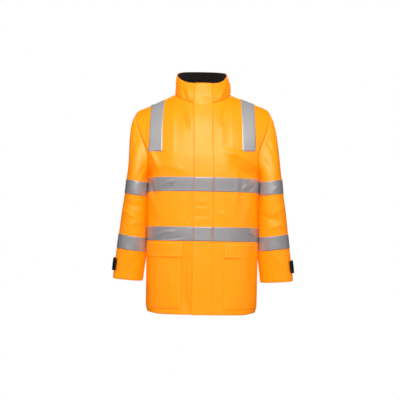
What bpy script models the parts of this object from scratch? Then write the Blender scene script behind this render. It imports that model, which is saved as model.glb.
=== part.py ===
"""A long hi-vis work jacket, filled out as if worn, with nothing inside.

The torso and sleeves are thin cloth walls round empty space. Their outer faces come from one smooth body
surface: sections at named heights below the arms, a yoke stretched between the last section, the neck and
shoulder line, the centre line and the armhole above them, and oval sleeve sections below the armhole. Each
panel is a grid of points on that surface, given a thickness. Whatever lies on a panel takes the panel's own
points, moved out.

+X is the wearer's left, -Y the front and +Z up. The origin is at the height of the side of the neck, midway
between the shoulders. Tables are in millimetres.
"""

import bpy
import numpy as np

MM = 0.001

# Cloth and tape
CLOTH = 2.4
FLAP_CLOTH = 2.0
POCKET_CLOTH = 1.6
COLLAR_LINING = 2.4
TAPE = 1.0
TAPE_WIDTH = 50.0
GAP = 0.3
SEAM_INSET = GAP / 2

# Torso heights, at the centre of the front and back
HEM = -784.0
UNDERARM = -285.0
SIDE_DROP = 5.0
CHEST_TAPE_TOP = -301.5
WAIST_TAPE_TOP = -475.5
CHEST_TAPE_FOOT = CHEST_TAPE_TOP - TAPE_WIDTH
WAIST_TAPE_FOOT = WAIST_TAPE_TOP - TAPE_WIDTH
POCKET_FLAP_TOP = -531.0
POCKET_MOUTH = -545.0
POCKET_FLAP_FOOT = -583.0
POCKET_FOOT = -765.0
TORSO_LEVELS = (
    HEM, POCKET_FOOT, -705.0, -643.0, POCKET_FLAP_FOOT, POCKET_MOUTH, POCKET_FLAP_TOP,
    WAIST_TAPE_FOOT, WAIST_TAPE_TOP, -434.0, -392.0, CHEST_TAPE_FOOT, CHEST_TAPE_TOP, UNDERARM,
)

# Steps up the yoke, from the underarm at 0 to the neck and shoulders at 1
BRACE_FOOT_STEP = 0.31
BRACE_FOOT = -212.0
TRIAL_STEP = 0.01
LEVELLING_ROUNDS = 3
YOKE_STEPS = (0.1, 0.2, BRACE_FOOT_STEP, 0.42, 0.54, 0.66, 0.78, 0.89, 1.0)

# Neck seam, with the front as face -1 and the back as face 1
NECK_SHARE = 0.285
NECK_HALF_WIDTH = 100.0
NECK_SIDE_HEIGHT = 0.0
NECK_DEPTH = {-1: 102.0, 1: 75.0}
NECK_DROP = {-1: 41.0, 1: 7.0}
NECK_DROP_POWER = 1.5

SECTION_POWER = 2.5
EDGE_REACH = 3.0  # the higher, the nearer the armhole the yoke starts to bend to it
CENTRE_ROUNDING = 1.6  # the power by which the yoke leans back at the centre
SEARCH_POINTS = 401  # points tried along a row when a column is looked for by its width
TORSO = np.array(
    [  # height, half_width, front_depth, back_depth
        (-789.0, 200.0, 150.0, 146.0),
        (-640.0, 201.0, 150.0, 144.0),
        (-500.0, 202.0, 150.0, 141.0),
        (-390.0, 202.0, 150.0, 139.0),
        (-285.0, 203.0, 148.0, 138.0),
    ]
)
CENTRE_LINES = np.array(
    [  # step, front_depth, front_height, back_depth, back_height
        (0.0, 148.0, -285.0, 138.0, -285.0),
        (0.25, 146.0, -225.0, 143.0, -215.0),
        (0.5, 139.0, -162.0, 138.0, -143.0),
        (0.75, 125.0, -100.0, 118.0, -72.0),
        (
            1.0,
            NECK_DEPTH[-1], NECK_SIDE_HEIGHT - NECK_DROP[-1],
            NECK_DEPTH[1], NECK_SIDE_HEIGHT - NECK_DROP[1],
        ),
    ]
)
ARMHOLE = np.array(
    [  # step, height, front_x, front_depth, back_x, back_depth
        (0.0, -290.0, 203.0, 0.0, 203.0, 0.0),
        (0.1, -275.0, 197.0, 44.0, 199.0, 46.0),
        (0.2, -253.0, 193.0, 67.0, 197.0, 72.0),
        (0.31, -226.0, 196.0, 76.0, 201.0, 83.0),
        (0.42, -197.0, 206.0, 73.0, 210.0, 83.0),
        (0.54, -167.0, 219.0, 66.0, 221.0, 75.0),
        (0.66, -137.0, 230.0, 53.0, 230.0, 63.0),
        (0.78, -107.0, 238.0, 37.0, 237.0, 46.0),
        (0.89, -82.0, 239.0, 18.0, 239.0, 27.0),
        (1.0, -60.0, 230.0, -6.0, 230.0, 6.0),
    ]
)

# Shoulder and collar
SHOULDER_BOW = -2.0
COLLAR_HALF_WIDTH = 95.0
COLLAR_SIDE_HEIGHT = 65.0
COLLAR_TOP = {-1: (85.0, -32.0), 1: (82.0, 25.0)}  # face: depth, rise from side to centre
COLLAR_FRONT_POWER = 4.0
COLLAR_BACK_POWER = 0.5
COLLAR_STEPS = (0.0, 0.33, 0.67, 1.0)
BACK_NECK_ANGLES = (75.0, 55.0, 28.0)

# Columns across the fronts. From the centre out they are the zip edge, the flap edge, the pocket edge,
# two beside the neck, the brace's three, one near the side seam and the side seam
ZIP_EDGE = 6.0
FLAP_SEWN_EDGE = 36.0
FLAP_FREE_EDGE = 32.6
FLAP_FREE_EDGE_ON_COLLAR = 24.0
POCKET_EDGE_LEFT = 76.7
POCKET_EDGE_RIGHT = 70.0
NECK_NEAR = 93.0
NECK_BELOW = 104.0
FLAP_COLUMN, POCKET_COLUMN = 1, 2
BRACE_FROM_SIDE = (5, 2)  # the brace's columns, counted back from the end at the side seam
POCKET_FROM_SIDE = 1
BRACE_EDGES = np.array(
    [  # height, inner, outer
        (-784.0, 138.0, 184.0),
        (-285.0, 138.0, 182.0),
        (-250.0, 138.0, 174.0),
        (-214.0, 140.0, 190.0),
        (-50.0, 136.0, 185.0),
    ]
)

SLEEVE_POWER = 2.2
CAP_STEPS = (0.0, 0.12, 0.3, 0.5, 0.75)
CAP_TOP_ANGLE = 33.0
CAP_UNDERARM_ANGLE = 10.0
CAP_TOP_PULL = 0.5
CAP_UNDERARM_PULL = 1.6
CAP_END_PULL = 0.8
CAP_END_SLOPE = 0.2
UPPER_SLEEVE_TAPE_TOP = -311.0
LOWER_SLEEVE_TAPE_TOP = -508.0
CUFF = -672.0
SLEEVE = np.array(
    [  # height, inner_x, outer_x, centre_y, half_depth, tilt_deg
        (UPPER_SLEEVE_TAPE_TOP, 208.0, 281.0, 2.0, 90.0, 7.3),
        (-361.0, 208.0, 286.0, 1.0, 88.0, 7.3),
        (-430.0, 208.0, 296.0, -2.0, 82.0, 7.3),
        (LOWER_SLEEVE_TAPE_TOP, 208.5, 305.0, -6.0, 73.0, 7.3),
        (-558.0, 209.5, 311.0, -9.0, 67.0, 7.3),
        (-612.0, 212.0, 318.0, -11.0, 57.0, 6.0),
        (CUFF, 215.0, 325.0, -13.0, 47.0, 4.0),
    ]
)
TAB_TOP = -600.0
TAB_FOOT = -644.0
SLEEVE_LEVELS = (
    UPPER_SLEEVE_TAPE_TOP, UPPER_SLEEVE_TAPE_TOP - TAPE_WIDTH, -395.0, -430.0, -470.0,
    LOWER_SLEEVE_TAPE_TOP, LOWER_SLEEVE_TAPE_TOP - TAPE_WIDTH, TAB_TOP, TAB_FOOT, CUFF,
)
TAB_THICKNESS = 3.0
DIAGONAL_RULE = np.array((1.0, 3.7, 7.3))
TAB_LIFTS = (4.0, 5.5, 3.0, GAP)  # from its free front end to its sewn back end
TAB_COLUMNS = (-2, 2)  # sleeve columns that the tab spans, from its outer edge at 0
SHARP_ANGLE = 40.0

COLOURS = {
    "shell": ((1.0, 0.34, 0.0), 0.62, 0.0),
    "tape": ((0.42, 0.41, 0.42), 0.38, 0.2),
    "lining": ((0.02, 0.016, 0.016), 0.85, 0.0),
    "zip": ((0.9, 0.3, 0.01), 0.5, 0.0),
    "tab": ((0.03, 0.03, 0.03), 0.5, 0.0),
}


def smooth(table, column, at):
    """A cubic curve through one column of a table, against its first column."""
    knots = table[:, 0]
    values = table[:, column]
    steps = np.diff(knots)
    secants = np.diff(values) / steps
    slopes = np.empty_like(values)
    slopes[0] = secants[0]
    slopes[-1] = secants[-1]
    slopes[1:-1] = (secants[:-1] * steps[1:] + secants[1:] * steps[:-1]) / (steps[:-1] + steps[1:])
    at = np.clip(at, knots[0], knots[-1])
    cell = np.clip(np.searchsorted(knots, at, side="right") - 1, 0, len(steps) - 1)
    u = (at - knots[cell]) / steps[cell]
    start = (1 + 2 * u) * (1 - u) ** 2 * values[cell] + u * (1 - u) ** 2 * steps[cell] * slopes[cell]
    end = u * u * (3 - 2 * u) * values[cell + 1] + u * u * (u - 1) * steps[cell] * slopes[cell + 1]
    return start + end


def between(a, b, share):
    return a + (b - a) * share


def points(x, y, z):
    return np.stack(np.broadcast_arrays(x, y, z), axis=-1).astype(float)


def signed_power(value, power):
    return np.sign(value) * np.abs(value) ** power


def torso_section(s, level, face):
    """A point of the tube below the arms: s runs from the centre at 0 to the side seam at 1."""
    angle = s * np.pi / 2
    half_width = smooth(TORSO, 1, level)
    depth = smooth(TORSO, 2 if face < 0 else 3, level)
    x = half_width * signed_power(np.sin(angle), 2 / SECTION_POWER)
    y = face * depth * signed_power(np.cos(angle), 2 / SECTION_POWER)
    return points(x, y, level - SIDE_DROP * s * s)


def neck_seam(angle, face):
    """The seam under the collar: angle runs from the centre at 0 to the side of the neck at a right angle."""
    x = NECK_HALF_WIDTH * np.sin(angle)
    y = face * NECK_DEPTH[face] * np.cos(angle)
    return points(x, y, NECK_SIDE_HEIGHT - NECK_DROP[face] * np.abs(np.cos(angle)) ** NECK_DROP_POWER)


def collar_edge(angle, face):
    """The top edge of the collar, flat across the front and rising quickly at the sides."""
    depth, rise = COLLAR_TOP[face]
    if face < 0:
        share = 1 - np.sin(angle) ** COLLAR_FRONT_POWER
    else:
        share = np.abs(np.cos(angle)) ** COLLAR_BACK_POWER
    x = COLLAR_HALF_WIDTH * np.sin(angle)
    return points(x, face * depth * np.cos(angle), COLLAR_SIDE_HEIGHT + rise * share)


def armhole(step, face):
    x, depth = (2, 3) if face < 0 else (4, 5)
    return points(smooth(ARMHOLE, x, step), face * smooth(ARMHOLE, depth, step), smooth(ARMHOLE, 1, step))


def neck_and_shoulder(s, face):
    """The yoke's top edge: the neck seam, then the shoulder seam out to the tip."""
    tip = armhole(1.0, face)
    neck_side = neck_seam(np.pi / 2, face)
    along = np.clip((s - NECK_SHARE) / (1 - NECK_SHARE), 0, 1)[..., None]
    shoulder = between(neck_side, tip, along)
    shoulder[..., 2] += SHOULDER_BOW * 4 * along[..., 0] * (1 - along[..., 0])
    neck = neck_seam(np.clip(s / NECK_SHARE, 0, 1) * np.pi / 2, face)
    return np.where((s < NECK_SHARE)[..., None], neck, shoulder)


def yoke(s, step, face):
    """A patch stretched between its four edges, rounded over towards the shoulder in depth."""
    depth_column, height_column = (1, 2) if face < 0 else (3, 4)
    foot = torso_section(s, UNDERARM, face)
    top = neck_and_shoulder(s, face)
    centre = points(
        0.0, face * smooth(CENTRE_LINES, depth_column, step), smooth(CENTRE_LINES, height_column, step)
    )
    edge = armhole(step, face)
    roll = 1 - np.sqrt(1 - np.minimum(step, 1) ** 2)
    rounded = between(step**CENTRE_ROUNDING, roll, np.clip(s / NECK_SHARE, 0, 1) ** 2)
    share = points(step, rounded, step)
    zero, one = np.zeros_like(s), np.ones_like(s)
    from_rows = between(foot, top, share)
    at_centre = between(torso_section(zero, UNDERARM, face), neck_and_shoulder(zero, face), share)
    at_edge = between(torso_section(one, UNDERARM, face), neck_and_shoulder(one, face), share)
    inward = (1 - s)[..., None]
    outward = (s**EDGE_REACH)[..., None]
    return from_rows + inward * (centre - at_centre) + outward * (edge - at_edge)


def torso_place(s, row, face):
    """Rows below the underarm are heights, which are negative, and the rest are steps up the yoke."""
    rows = np.full_like(s, row)
    if row < 0:
        return torso_section(s, rows, face)
    return yoke(s, rows, face)


def level_row(s, row, face, columns):
    """A yoke row whose steps are shifted so that the points in the named columns lie at one height."""
    steps = np.full_like(s, row)
    for _ in range(LEVELLING_ROUNDS):
        here = yoke(s, steps, face)
        rise = (yoke(s, steps + TRIAL_STEP, face) - here)[:, 2] / TRIAL_STEP
        steps[columns] += ((BRACE_FOOT - here[:, 2]) / rise)[columns]
    return yoke(s, steps, face)


def torso_row(row, face, inner_columns):
    """One row of a half panel, centre to side, with its columns where the pieces on it have their edges."""
    up_yoke = max(row, 0)
    height = row if row < 0 else between(UNDERARM, BRACE_EDGES[-1, 0], up_yoke)
    neck = between(NECK_BELOW, NECK_HALF_WIDTH, up_yoke)
    inner = np.array([*inner_columns, neck])
    brace_in = smooth(BRACE_EDGES, 1, height)
    brace_out = smooth(BRACE_EDGES, 2, height)
    outer = [brace_in, (brace_in + brace_out) / 2, brace_out]
    trial = np.linspace(0, 1, SEARCH_POINTS)
    widths = torso_place(trial, row, face)[:, 0]
    outer_s = np.interp(outer, widths, trial)
    if up_yoke == 1:
        inner_s = NECK_SHARE * np.arcsin(inner / NECK_HALF_WIDTH) * 2 / np.pi
    else:
        inner_s = np.interp(inner, widths, trial)
    near_side = (outer_s[-1] + 1) / 2
    s = np.array([*inner_s, *outer_s, near_side, 1.0])
    if row == BRACE_FOOT_STEP:
        return level_row(s, row, face, slice(len(inner_s), len(inner_s) + len(outer_s)))
    return torso_place(s, row, face)


def front_half(flap_edge, pocket_edge):
    """The wearer's left front, with columns at its own flap and pocket edges."""
    columns = (ZIP_EDGE, flap_edge, pocket_edge, NECK_NEAR)
    return np.array([torso_row(row, -1, columns) for row in (*TORSO_LEVELS, *YOKE_STEPS)])


def back_half():
    """The left half of the back, side seam to centre."""
    columns = (0.0, *(NECK_HALF_WIDTH * np.sin(np.radians(BACK_NECK_ANGLES[::-1]))))
    return np.array([torso_row(row, 1, columns)[::-1] for row in (*TORSO_LEVELS, *YOKE_STEPS)])


def mirrored(grid):
    """The same grid for the wearer's right, its columns still running anticlockwise from above."""
    return (grid * (-1, 1, 1))[:, ::-1]


def collar_half(flap_edge, flap_edge_on_top, pocket_edge):
    """The collar's left half, from the zip edge to just short of the centre of the back."""
    seam_x = np.array([ZIP_EDGE, flap_edge, pocket_edge, NECK_NEAR, NECK_HALF_WIDTH])
    front = np.arcsin(seam_x / NECK_HALF_WIDTH)
    front_top = front.copy()
    front_top[1] = np.arcsin(flap_edge_on_top / COLLAR_HALF_WIDTH)
    back = np.radians(BACK_NECK_ANGLES)
    seam = np.concatenate([neck_seam(front, -1), neck_seam(back, 1)])
    top = np.concatenate([collar_edge(front_top, -1), collar_edge(back, 1)])
    return np.array([between(seam, top, share) for share in COLLAR_STEPS])


def collar_ring():
    left = collar_half(FLAP_SEWN_EDGE, FLAP_SEWN_EDGE * COLLAR_HALF_WIDTH / NECK_HALF_WIDTH, POCKET_EDGE_LEFT)
    right = mirrored(collar_half(FLAP_FREE_EDGE, FLAP_FREE_EDGE_ON_COLLAR, POCKET_EDGE_RIGHT))
    ends = neck_seam(0.0, 1), collar_edge(0.0, 1)
    centre = np.array([between(*ends, share) for share in COLLAR_STEPS])[:, None]
    return np.concatenate([left, centre, right], axis=1)


def sleeve_section(level, angle):
    """One oval of the sleeve. Angle 0 is its outer edge and a right angle its front."""
    inner, outer, centre_y, half_depth, tilt = (smooth(SLEEVE[::-1], c, level) for c in range(1, 6))
    out = (outer - inner) / 2 * signed_power(np.cos(angle), 2 / SLEEVE_POWER)
    y = centre_y - half_depth * signed_power(np.sin(angle), 2 / SLEEVE_POWER)
    return points((inner + outer) / 2 + out, y, level + out * np.tan(np.radians(tilt)))


def sleeve_tube():
    """The left sleeve, cuff first, as closed rings that start at the outer edge and run anticlockwise."""
    steps = np.array((0.0, *YOKE_STEPS))
    ring = np.concatenate([armhole(steps, 1)[::-1], armhole(steps, -1)[1:-1]])
    lengths = np.linalg.norm(np.diff(np.concatenate([ring, ring[:1]]), axis=0), axis=1)
    half = len(steps) - 1
    back_share = np.concatenate([[0.0], np.cumsum(lengths[:half])]) / lengths[:half].sum()
    front_share = np.concatenate([[0.0], np.cumsum(lengths[half:])]) / lengths[half:].sum()
    angle = -np.pi * np.concatenate([back_share, 1 + front_share[1:-1]])
    first = sleeve_section(SLEEVE_LEVELS[0], angle)
    reach = np.linalg.norm(first - ring, axis=1)[:, None]
    underarm_share = (1 - np.cos(angle)) / 2
    fall = np.radians(between(CAP_TOP_ANGLE, CAP_UNDERARM_ANGLE, underarm_share))
    pull = between(CAP_TOP_PULL, CAP_UNDERARM_PULL, underarm_share)[:, None]
    leave = points(np.cos(fall), 0.0, -np.sin(fall)) * reach * pull
    arrive = points(CAP_END_SLOPE * (1 - underarm_share), 0.0, -1.0) * reach * CAP_END_PULL
    rows = [sleeve_section(level, angle) for level in SLEEVE_LEVELS[::-1]]
    for t in CAP_STEPS[::-1]:
        near = (1 + 2 * t) * (1 - t) ** 2 * ring + t * (1 - t) ** 2 * leave
        far = t * t * (3 - 2 * t) * first - t * t * (1 - t) * arrive
        rows.append(near + far)
    return np.array(rows)


def outward_normals(patches):
    """Unit normals at every grid point, shared where patches meet so that their walls meet too."""
    flat = np.concatenate([grid.reshape(-1, 3) for grid, _ in patches.values()])
    # Adding zero turns a rounded -0.0 into 0.0, so that both match
    rounded = np.round(flat, 3) + 0.0
    _, first, index = np.unique(rounded, axis=0, return_index=True, return_inverse=True)
    index = index.reshape(-1)
    total = np.zeros((len(first), 3))
    start = 0
    for grid, closed in patches.values():
        ids = index[start : start + grid.shape[0] * grid.shape[1]].reshape(grid.shape[:2])
        start += ids.size
        corners = [np.roll(grid, -1, axis=1), grid]
        names = [np.roll(ids, -1, axis=1), ids]
        span = slice(None) if closed else slice(0, -1)
        a, b = corners[1][:-1, span], corners[0][:-1, span]
        d, c = corners[1][1:, span], corners[0][1:, span]
        faces = np.cross(c - a, d - b)
        for corner in (names[1][:-1, span], names[0][:-1, span], names[1][1:, span], names[0][1:, span]):
            np.add.at(total, corner.reshape(-1), faces.reshape(-1, 3))
    total /= np.linalg.norm(total, axis=1)[:, None]
    normals, start = {}, 0
    for name, (grid, _) in patches.items():
        size = grid.shape[0] * grid.shape[1]
        normals[name] = total[index[start : start + size]].reshape(grid.shape)
        start += size
    return normals


def inset(grid, closed):
    """The grid with its border drawn in, so that pieces which meet keep a gap."""
    moved = grid.copy()

    def draw_in(edge, beside):
        along = beside - edge
        return edge + along / np.linalg.norm(along, axis=-1)[..., None] * SEAM_INSET

    moved[0] = draw_in(moved[0], grid[1])
    moved[-1] = draw_in(moved[-1], grid[-2])
    if not closed:
        moved[:, 0] = draw_in(moved[:, 0], moved[:, 1])
        moved[:, -1] = draw_in(moved[:, -1], moved[:, -2])
    return moved


def wall(name, grid, normals, low, high, material, closed=False):
    """A closed solid between two layers of the same grid, low and high above it."""
    low = np.broadcast_to(low, grid.shape[:2])[..., None]
    high = np.broadcast_to(high, grid.shape[:2])[..., None]
    under = inset(grid + normals * low, closed)
    over = inset(grid + normals * high, closed)
    rows, columns = grid.shape[:2]
    count = rows * columns
    ids = np.arange(count).reshape(rows, columns)
    if closed:
        ids = np.concatenate([ids, ids[:, :1]], axis=1)
    a, b, c, d = ids[:-1, :-1], ids[:-1, 1:], ids[1:, 1:], ids[1:, :-1]
    top = np.concatenate([np.stack([a, b, c], -1).reshape(-1, 3), np.stack([a, c, d], -1).reshape(-1, 3)])
    loops = [ids[0], ids[-1][::-1]]
    if not closed:
        loops += [ids[:, -1], ids[::-1, 0]]
    vertices = np.concatenate([over.reshape(-1, 3), under.reshape(-1, 3)]) * MM
    # Each rim quad is cut along the diagonal that its neighbour's rim takes too, whichever way it runs
    rank = vertices @ DIAGONAL_RULE
    rims = []
    for loop in loops:
        start, end = loop[:-1], loop[1:]
        rising = (rank[start] < rank[end])[:, None]
        cut_up = np.stack([start + count, end + count, end, start + count, end, start], -1)
        cut_down = np.stack([start + count, end + count, start, end + count, end, start], -1)
        rims.append(np.where(rising, cut_up, cut_down).reshape(-1, 3))
    faces = np.concatenate([top, top[:, ::-1] + count, *rims])
    mesh = bpy.data.meshes.new(name)
    mesh.from_pydata(vertices.tolist(), [], faces.tolist())
    mesh.shade_smooth()
    mesh.set_sharp_from_angle(angle=np.radians(SHARP_ANGLE))
    mesh.materials.append(material)
    bpy.context.scene.collection.objects.link(bpy.data.objects.new(name, mesh))


def make_material(name):
    colour, roughness, metallic = COLOURS[name]
    material = bpy.data.materials.new(name)
    material.use_nodes = True
    shader = material.node_tree.nodes["Principled BSDF"]
    shader.inputs["Base Color"].default_value = (*colour, 1.0)
    shader.inputs["Roughness"].default_value = roughness
    shader.inputs["Metallic"].default_value = metallic
    return material


def both_sides(left_name, left, right=None):
    """A named patch and its mirror, or its own right-hand version."""
    grid, closed = left
    other = mirrored(grid if right is None else right)
    if closed:
        other = np.roll(other, 1, axis=1)
    return {f"{left_name}_left": (grid, closed), f"{left_name}_right": (other, closed)}


def shell_patches():
    """Every panel of the shell, and the zip strip, as grids that share their seams."""
    left = front_half(FLAP_SEWN_EDGE, POCKET_EDGE_LEFT)
    right = front_half(FLAP_FREE_EDGE, POCKET_EDGE_RIGHT)
    ring = collar_ring()
    half = back_half()
    patches = both_sides("front", (left, False), right)
    patches["back"] = (np.concatenate([half, mirrored(half)[:, 1:]], axis=1), False)
    patches.update(both_sides("sleeve", (sleeve_tube(), True)))
    patches["collar"] = (ring, False)
    below = np.stack([patches["front_right"][0][:, -1], left[:, 0]], axis=1)
    above = np.stack([ring[1:, -1], ring[1:, 0]], axis=1)
    patches["zip"] = (np.concatenate([below, above]), False)
    return patches


def rows_between(low, high):
    rows = (*TORSO_LEVELS, *YOKE_STEPS)
    return slice(rows.index(low), rows.index(high) + 1)


def flap_strip(field, start, stop):
    """The columns under the storm flap, joined across the zip, from the fronts and then the collar."""
    fronts = np.concatenate([field["front_right"][:, -2:], field["front_left"][:, :2]], axis=1)
    collar = np.concatenate([field["collar"][1:, -2:], field["collar"][1:, :2]], axis=1)
    return np.concatenate([fronts, collar])[start:stop]


def flap_layers():
    """The storm flap's lower and upper faces by column: clear of the right tape, down on the left front."""
    over_tape = GAP + TAPE + GAP
    low = np.array([over_tape, over_tape, 2 * GAP, GAP])
    return low, low + FLAP_CLOTH


def columns_of(first, last, count, left):
    """Columns first to last of a left front, or the same ones on a grid that runs the other way."""
    return slice(first, last) if left else slice(count - last, count - first)


def main():
    for leftover in list(bpy.data.objects):
        bpy.data.objects.remove(leftover, do_unlink=True)
    materials = {name: make_material(name) for name in COLOURS}
    patches = shell_patches()
    normals = outward_normals(patches)
    grids = {name: grid for name, (grid, _) in patches.items()}
    every = slice(None)

    def lay(name, source, rows, columns, low, high, material, closed=False):
        grid, normal = grids[source][rows, columns], normals[source][rows, columns]
        wall(name, grid, normal, low, high, materials[material], closed)

    for name, (grid, closed) in patches.items():
        material = materials["zip" if name == "zip" else "shell"]
        wall(name, grid, normals[name], -CLOTH, 0.0, material, closed)
    lining_face = -CLOTH - GAP
    lay("collar_lining", "collar", every, every, lining_face - COLLAR_LINING, lining_face, "lining")

    strips = flap_strip(grids, None, None), flap_strip(normals, None, None)
    flap_low, flap_high = flap_layers()
    wall("storm_flap", *strips, flap_low, flap_high, materials["shell"])
    lay_trunk_tapes(lay, strips, flap_high, materials["tape"])
    for side in ("left", "right"):
        lay_brace(side, grids, normals, materials["tape"])
        lay_pocket(side, lay, grids[f"front_{side}"].shape[1])
        lay_sleeve_tapes(side, lay)
        lay_cuff_tab(side, grids, normals, materials["tab"])


def lay_trunk_tapes(lay, strips, flap_high, tape):
    """Chest and waist tapes on both fronts, the back and the flap."""
    bands = {
        "chest": rows_between(CHEST_TAPE_FOOT, CHEST_TAPE_TOP),
        "waist": rows_between(WAIST_TAPE_FOOT, WAIST_TAPE_TOP),
    }
    for band, rows in bands.items():
        name = f"{band}_tape"
        lay(f"{name}_left", "front_left", rows, slice(FLAP_COLUMN, None), GAP, GAP + TAPE, "tape")
        lay(f"{name}_right", "front_right", rows, slice(None, -FLAP_COLUMN), GAP, GAP + TAPE, "tape")
        lay(f"{name}_back", "back", rows, slice(None), GAP, GAP + TAPE, "tape")
        low = flap_high + GAP
        wall(f"{name}_flap", strips[0][rows], strips[1][rows], low, low + TAPE, tape)


def lay_brace(side, grids, normals, tape):
    """A brace from mid-chest over the shoulder and down the back."""
    left = side == "left"
    front, back = f"front_{side}", "back"
    in_front, behind = grids[front].shape[1], grids[back].shape[1]
    first, last = (in_front - edge for edge in BRACE_FROM_SIDE)
    front_columns = columns_of(first, last, in_front, left)
    # The back runs the other way round, so its matching columns count from its other end
    first, last = (behind - edge for edge in BRACE_FROM_SIDE)
    back_columns = columns_of(first, last, behind, not left)
    rows = slice((*TORSO_LEVELS, *YOKE_STEPS).index(BRACE_FOOT_STEP), None)
    over = []
    for field in (grids, normals):
        up = field[front][rows, front_columns]
        down = field[back][rows, back_columns][-2::-1, ::-1]
        over.append(np.concatenate([up, down]))
    wall(f"brace_tape_{side}", *over, GAP, GAP + TAPE, tape)


def lay_pocket(side, lay, count):
    """A patch pocket and the flap over its mouth."""
    columns = columns_of(POCKET_COLUMN, count - POCKET_FROM_SIDE, count, side == "left")
    top = GAP + POCKET_CLOTH
    rows = rows_between(POCKET_FOOT, POCKET_MOUTH)
    lay(f"pocket_{side}", f"front_{side}", rows, columns, GAP, top, "shell")
    low = np.array([top + GAP, top + GAP, GAP])[:, None]
    rows = rows_between(POCKET_FLAP_FOOT, POCKET_FLAP_TOP)
    lay(f"pocket_flap_{side}", f"front_{side}", rows, columns, low, low + FLAP_CLOTH, "shell")


def lay_sleeve_tapes(side, lay):
    levels = SLEEVE_LEVELS[::-1]
    for height, top in (("upper", UPPER_SLEEVE_TAPE_TOP), ("lower", LOWER_SLEEVE_TAPE_TOP)):
        foot = levels.index(top - TAPE_WIDTH)
        rows = slice(foot, foot + 2)
        name = f"{height}_sleeve_tape_{side}"
        lay(name, f"sleeve_{side}", rows, slice(None), GAP, GAP + TAPE, "tape", closed=True)


def lay_cuff_tab(side, grids, normals, material):
    """A tab over the cuff's outer edge, sewn down behind and standing off in front."""
    foot = SLEEVE_LEVELS[::-1].index(TAB_FOOT)
    rows = slice(foot, foot + 2)
    columns = np.arange(*TAB_COLUMNS)
    lifts = np.array(TAB_LIFTS)
    if side == "right":
        columns = -columns[::-1]
        lifts = lifts[::-1]
    grid, normal = (field[f"sleeve_{side}"][rows][:, columns] for field in (grids, normals))
    wall(f"cuff_tab_{side}", grid, normal, lifts, lifts + TAB_THICKNESS, material)


main()
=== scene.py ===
# %% [markdown]
# # A hi-vis work jacket, worn by nobody
#
# The real jacket is flat cloth, cut into panels and sewn into tubes. Worn, it fills out: a broad tube for
# the trunk, two sleeves, and a collar that stands. Grey reflective tapes, a flap over the zip, pockets and
# cuff tabs lie on top. This lesson makes every one of them as a thin sheet on the same body surface.
#
# Lengths are in millimetres until a mesh is made. +X is the wearer's left, -Y the front and +Z up, and the
# origin is between the shoulders at the height of the side of the neck.

import bpy
import numpy as np
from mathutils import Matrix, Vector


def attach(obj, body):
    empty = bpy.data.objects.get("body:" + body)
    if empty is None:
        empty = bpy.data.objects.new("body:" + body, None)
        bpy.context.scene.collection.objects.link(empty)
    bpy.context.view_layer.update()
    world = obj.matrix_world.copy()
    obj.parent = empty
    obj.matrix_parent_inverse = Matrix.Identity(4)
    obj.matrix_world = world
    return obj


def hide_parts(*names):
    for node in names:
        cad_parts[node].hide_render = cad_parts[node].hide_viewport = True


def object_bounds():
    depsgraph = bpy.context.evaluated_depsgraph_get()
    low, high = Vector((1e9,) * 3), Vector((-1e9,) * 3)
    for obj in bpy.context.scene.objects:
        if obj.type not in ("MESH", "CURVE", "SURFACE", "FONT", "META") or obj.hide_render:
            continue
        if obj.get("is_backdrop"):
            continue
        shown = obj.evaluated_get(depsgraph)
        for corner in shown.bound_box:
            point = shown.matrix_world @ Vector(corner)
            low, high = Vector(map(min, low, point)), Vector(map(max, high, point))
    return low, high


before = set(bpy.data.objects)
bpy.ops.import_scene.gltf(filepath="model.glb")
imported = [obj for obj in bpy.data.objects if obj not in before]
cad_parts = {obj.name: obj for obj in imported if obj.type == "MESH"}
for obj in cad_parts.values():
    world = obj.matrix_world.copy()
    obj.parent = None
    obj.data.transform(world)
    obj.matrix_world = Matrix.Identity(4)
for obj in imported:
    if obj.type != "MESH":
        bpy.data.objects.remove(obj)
cad_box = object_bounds()
MM = 0.001
print("frame:", len(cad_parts), "nodes, box", [tuple(round(c, 3) for c in corner) for corner in cad_box])

# %% [markdown]
# ## The sizes of the body
#
# A tailor works from measures taken at a few heights. Here each table has one row for each such height, and
# a smooth curve runs between the rows, so the surface can be asked for at any height in between.

# %% Measures taken at a few heights
HEM = -784.0
UNDERARM = -285.0
YOKE_RISE = 235.0  # nominal height of the yoke, from underarm to shoulder
SHOULDER = UNDERARM + YOKE_RISE
SIDE_DROP = 5.0
SECTION_POWER = 2.5
EDGE_REACH = 3.0
LEAN_ASIDE = 7.5  # how far the neck stands to the wearer's right
SLEEVES_ASIDE = 4.5  # how far both arms hang to the left
SHOULDER_RAISE = 11.0  # how much higher the left shoulder is
HEM_TUCK, HEM_CORNER = 0.024, 5.0  # the hem draws in by this share, and its corners lift
FRONT, BACK = -1, 1
SIDES = ((1, "left"), (-1, "right"))  # the wearer's

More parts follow.
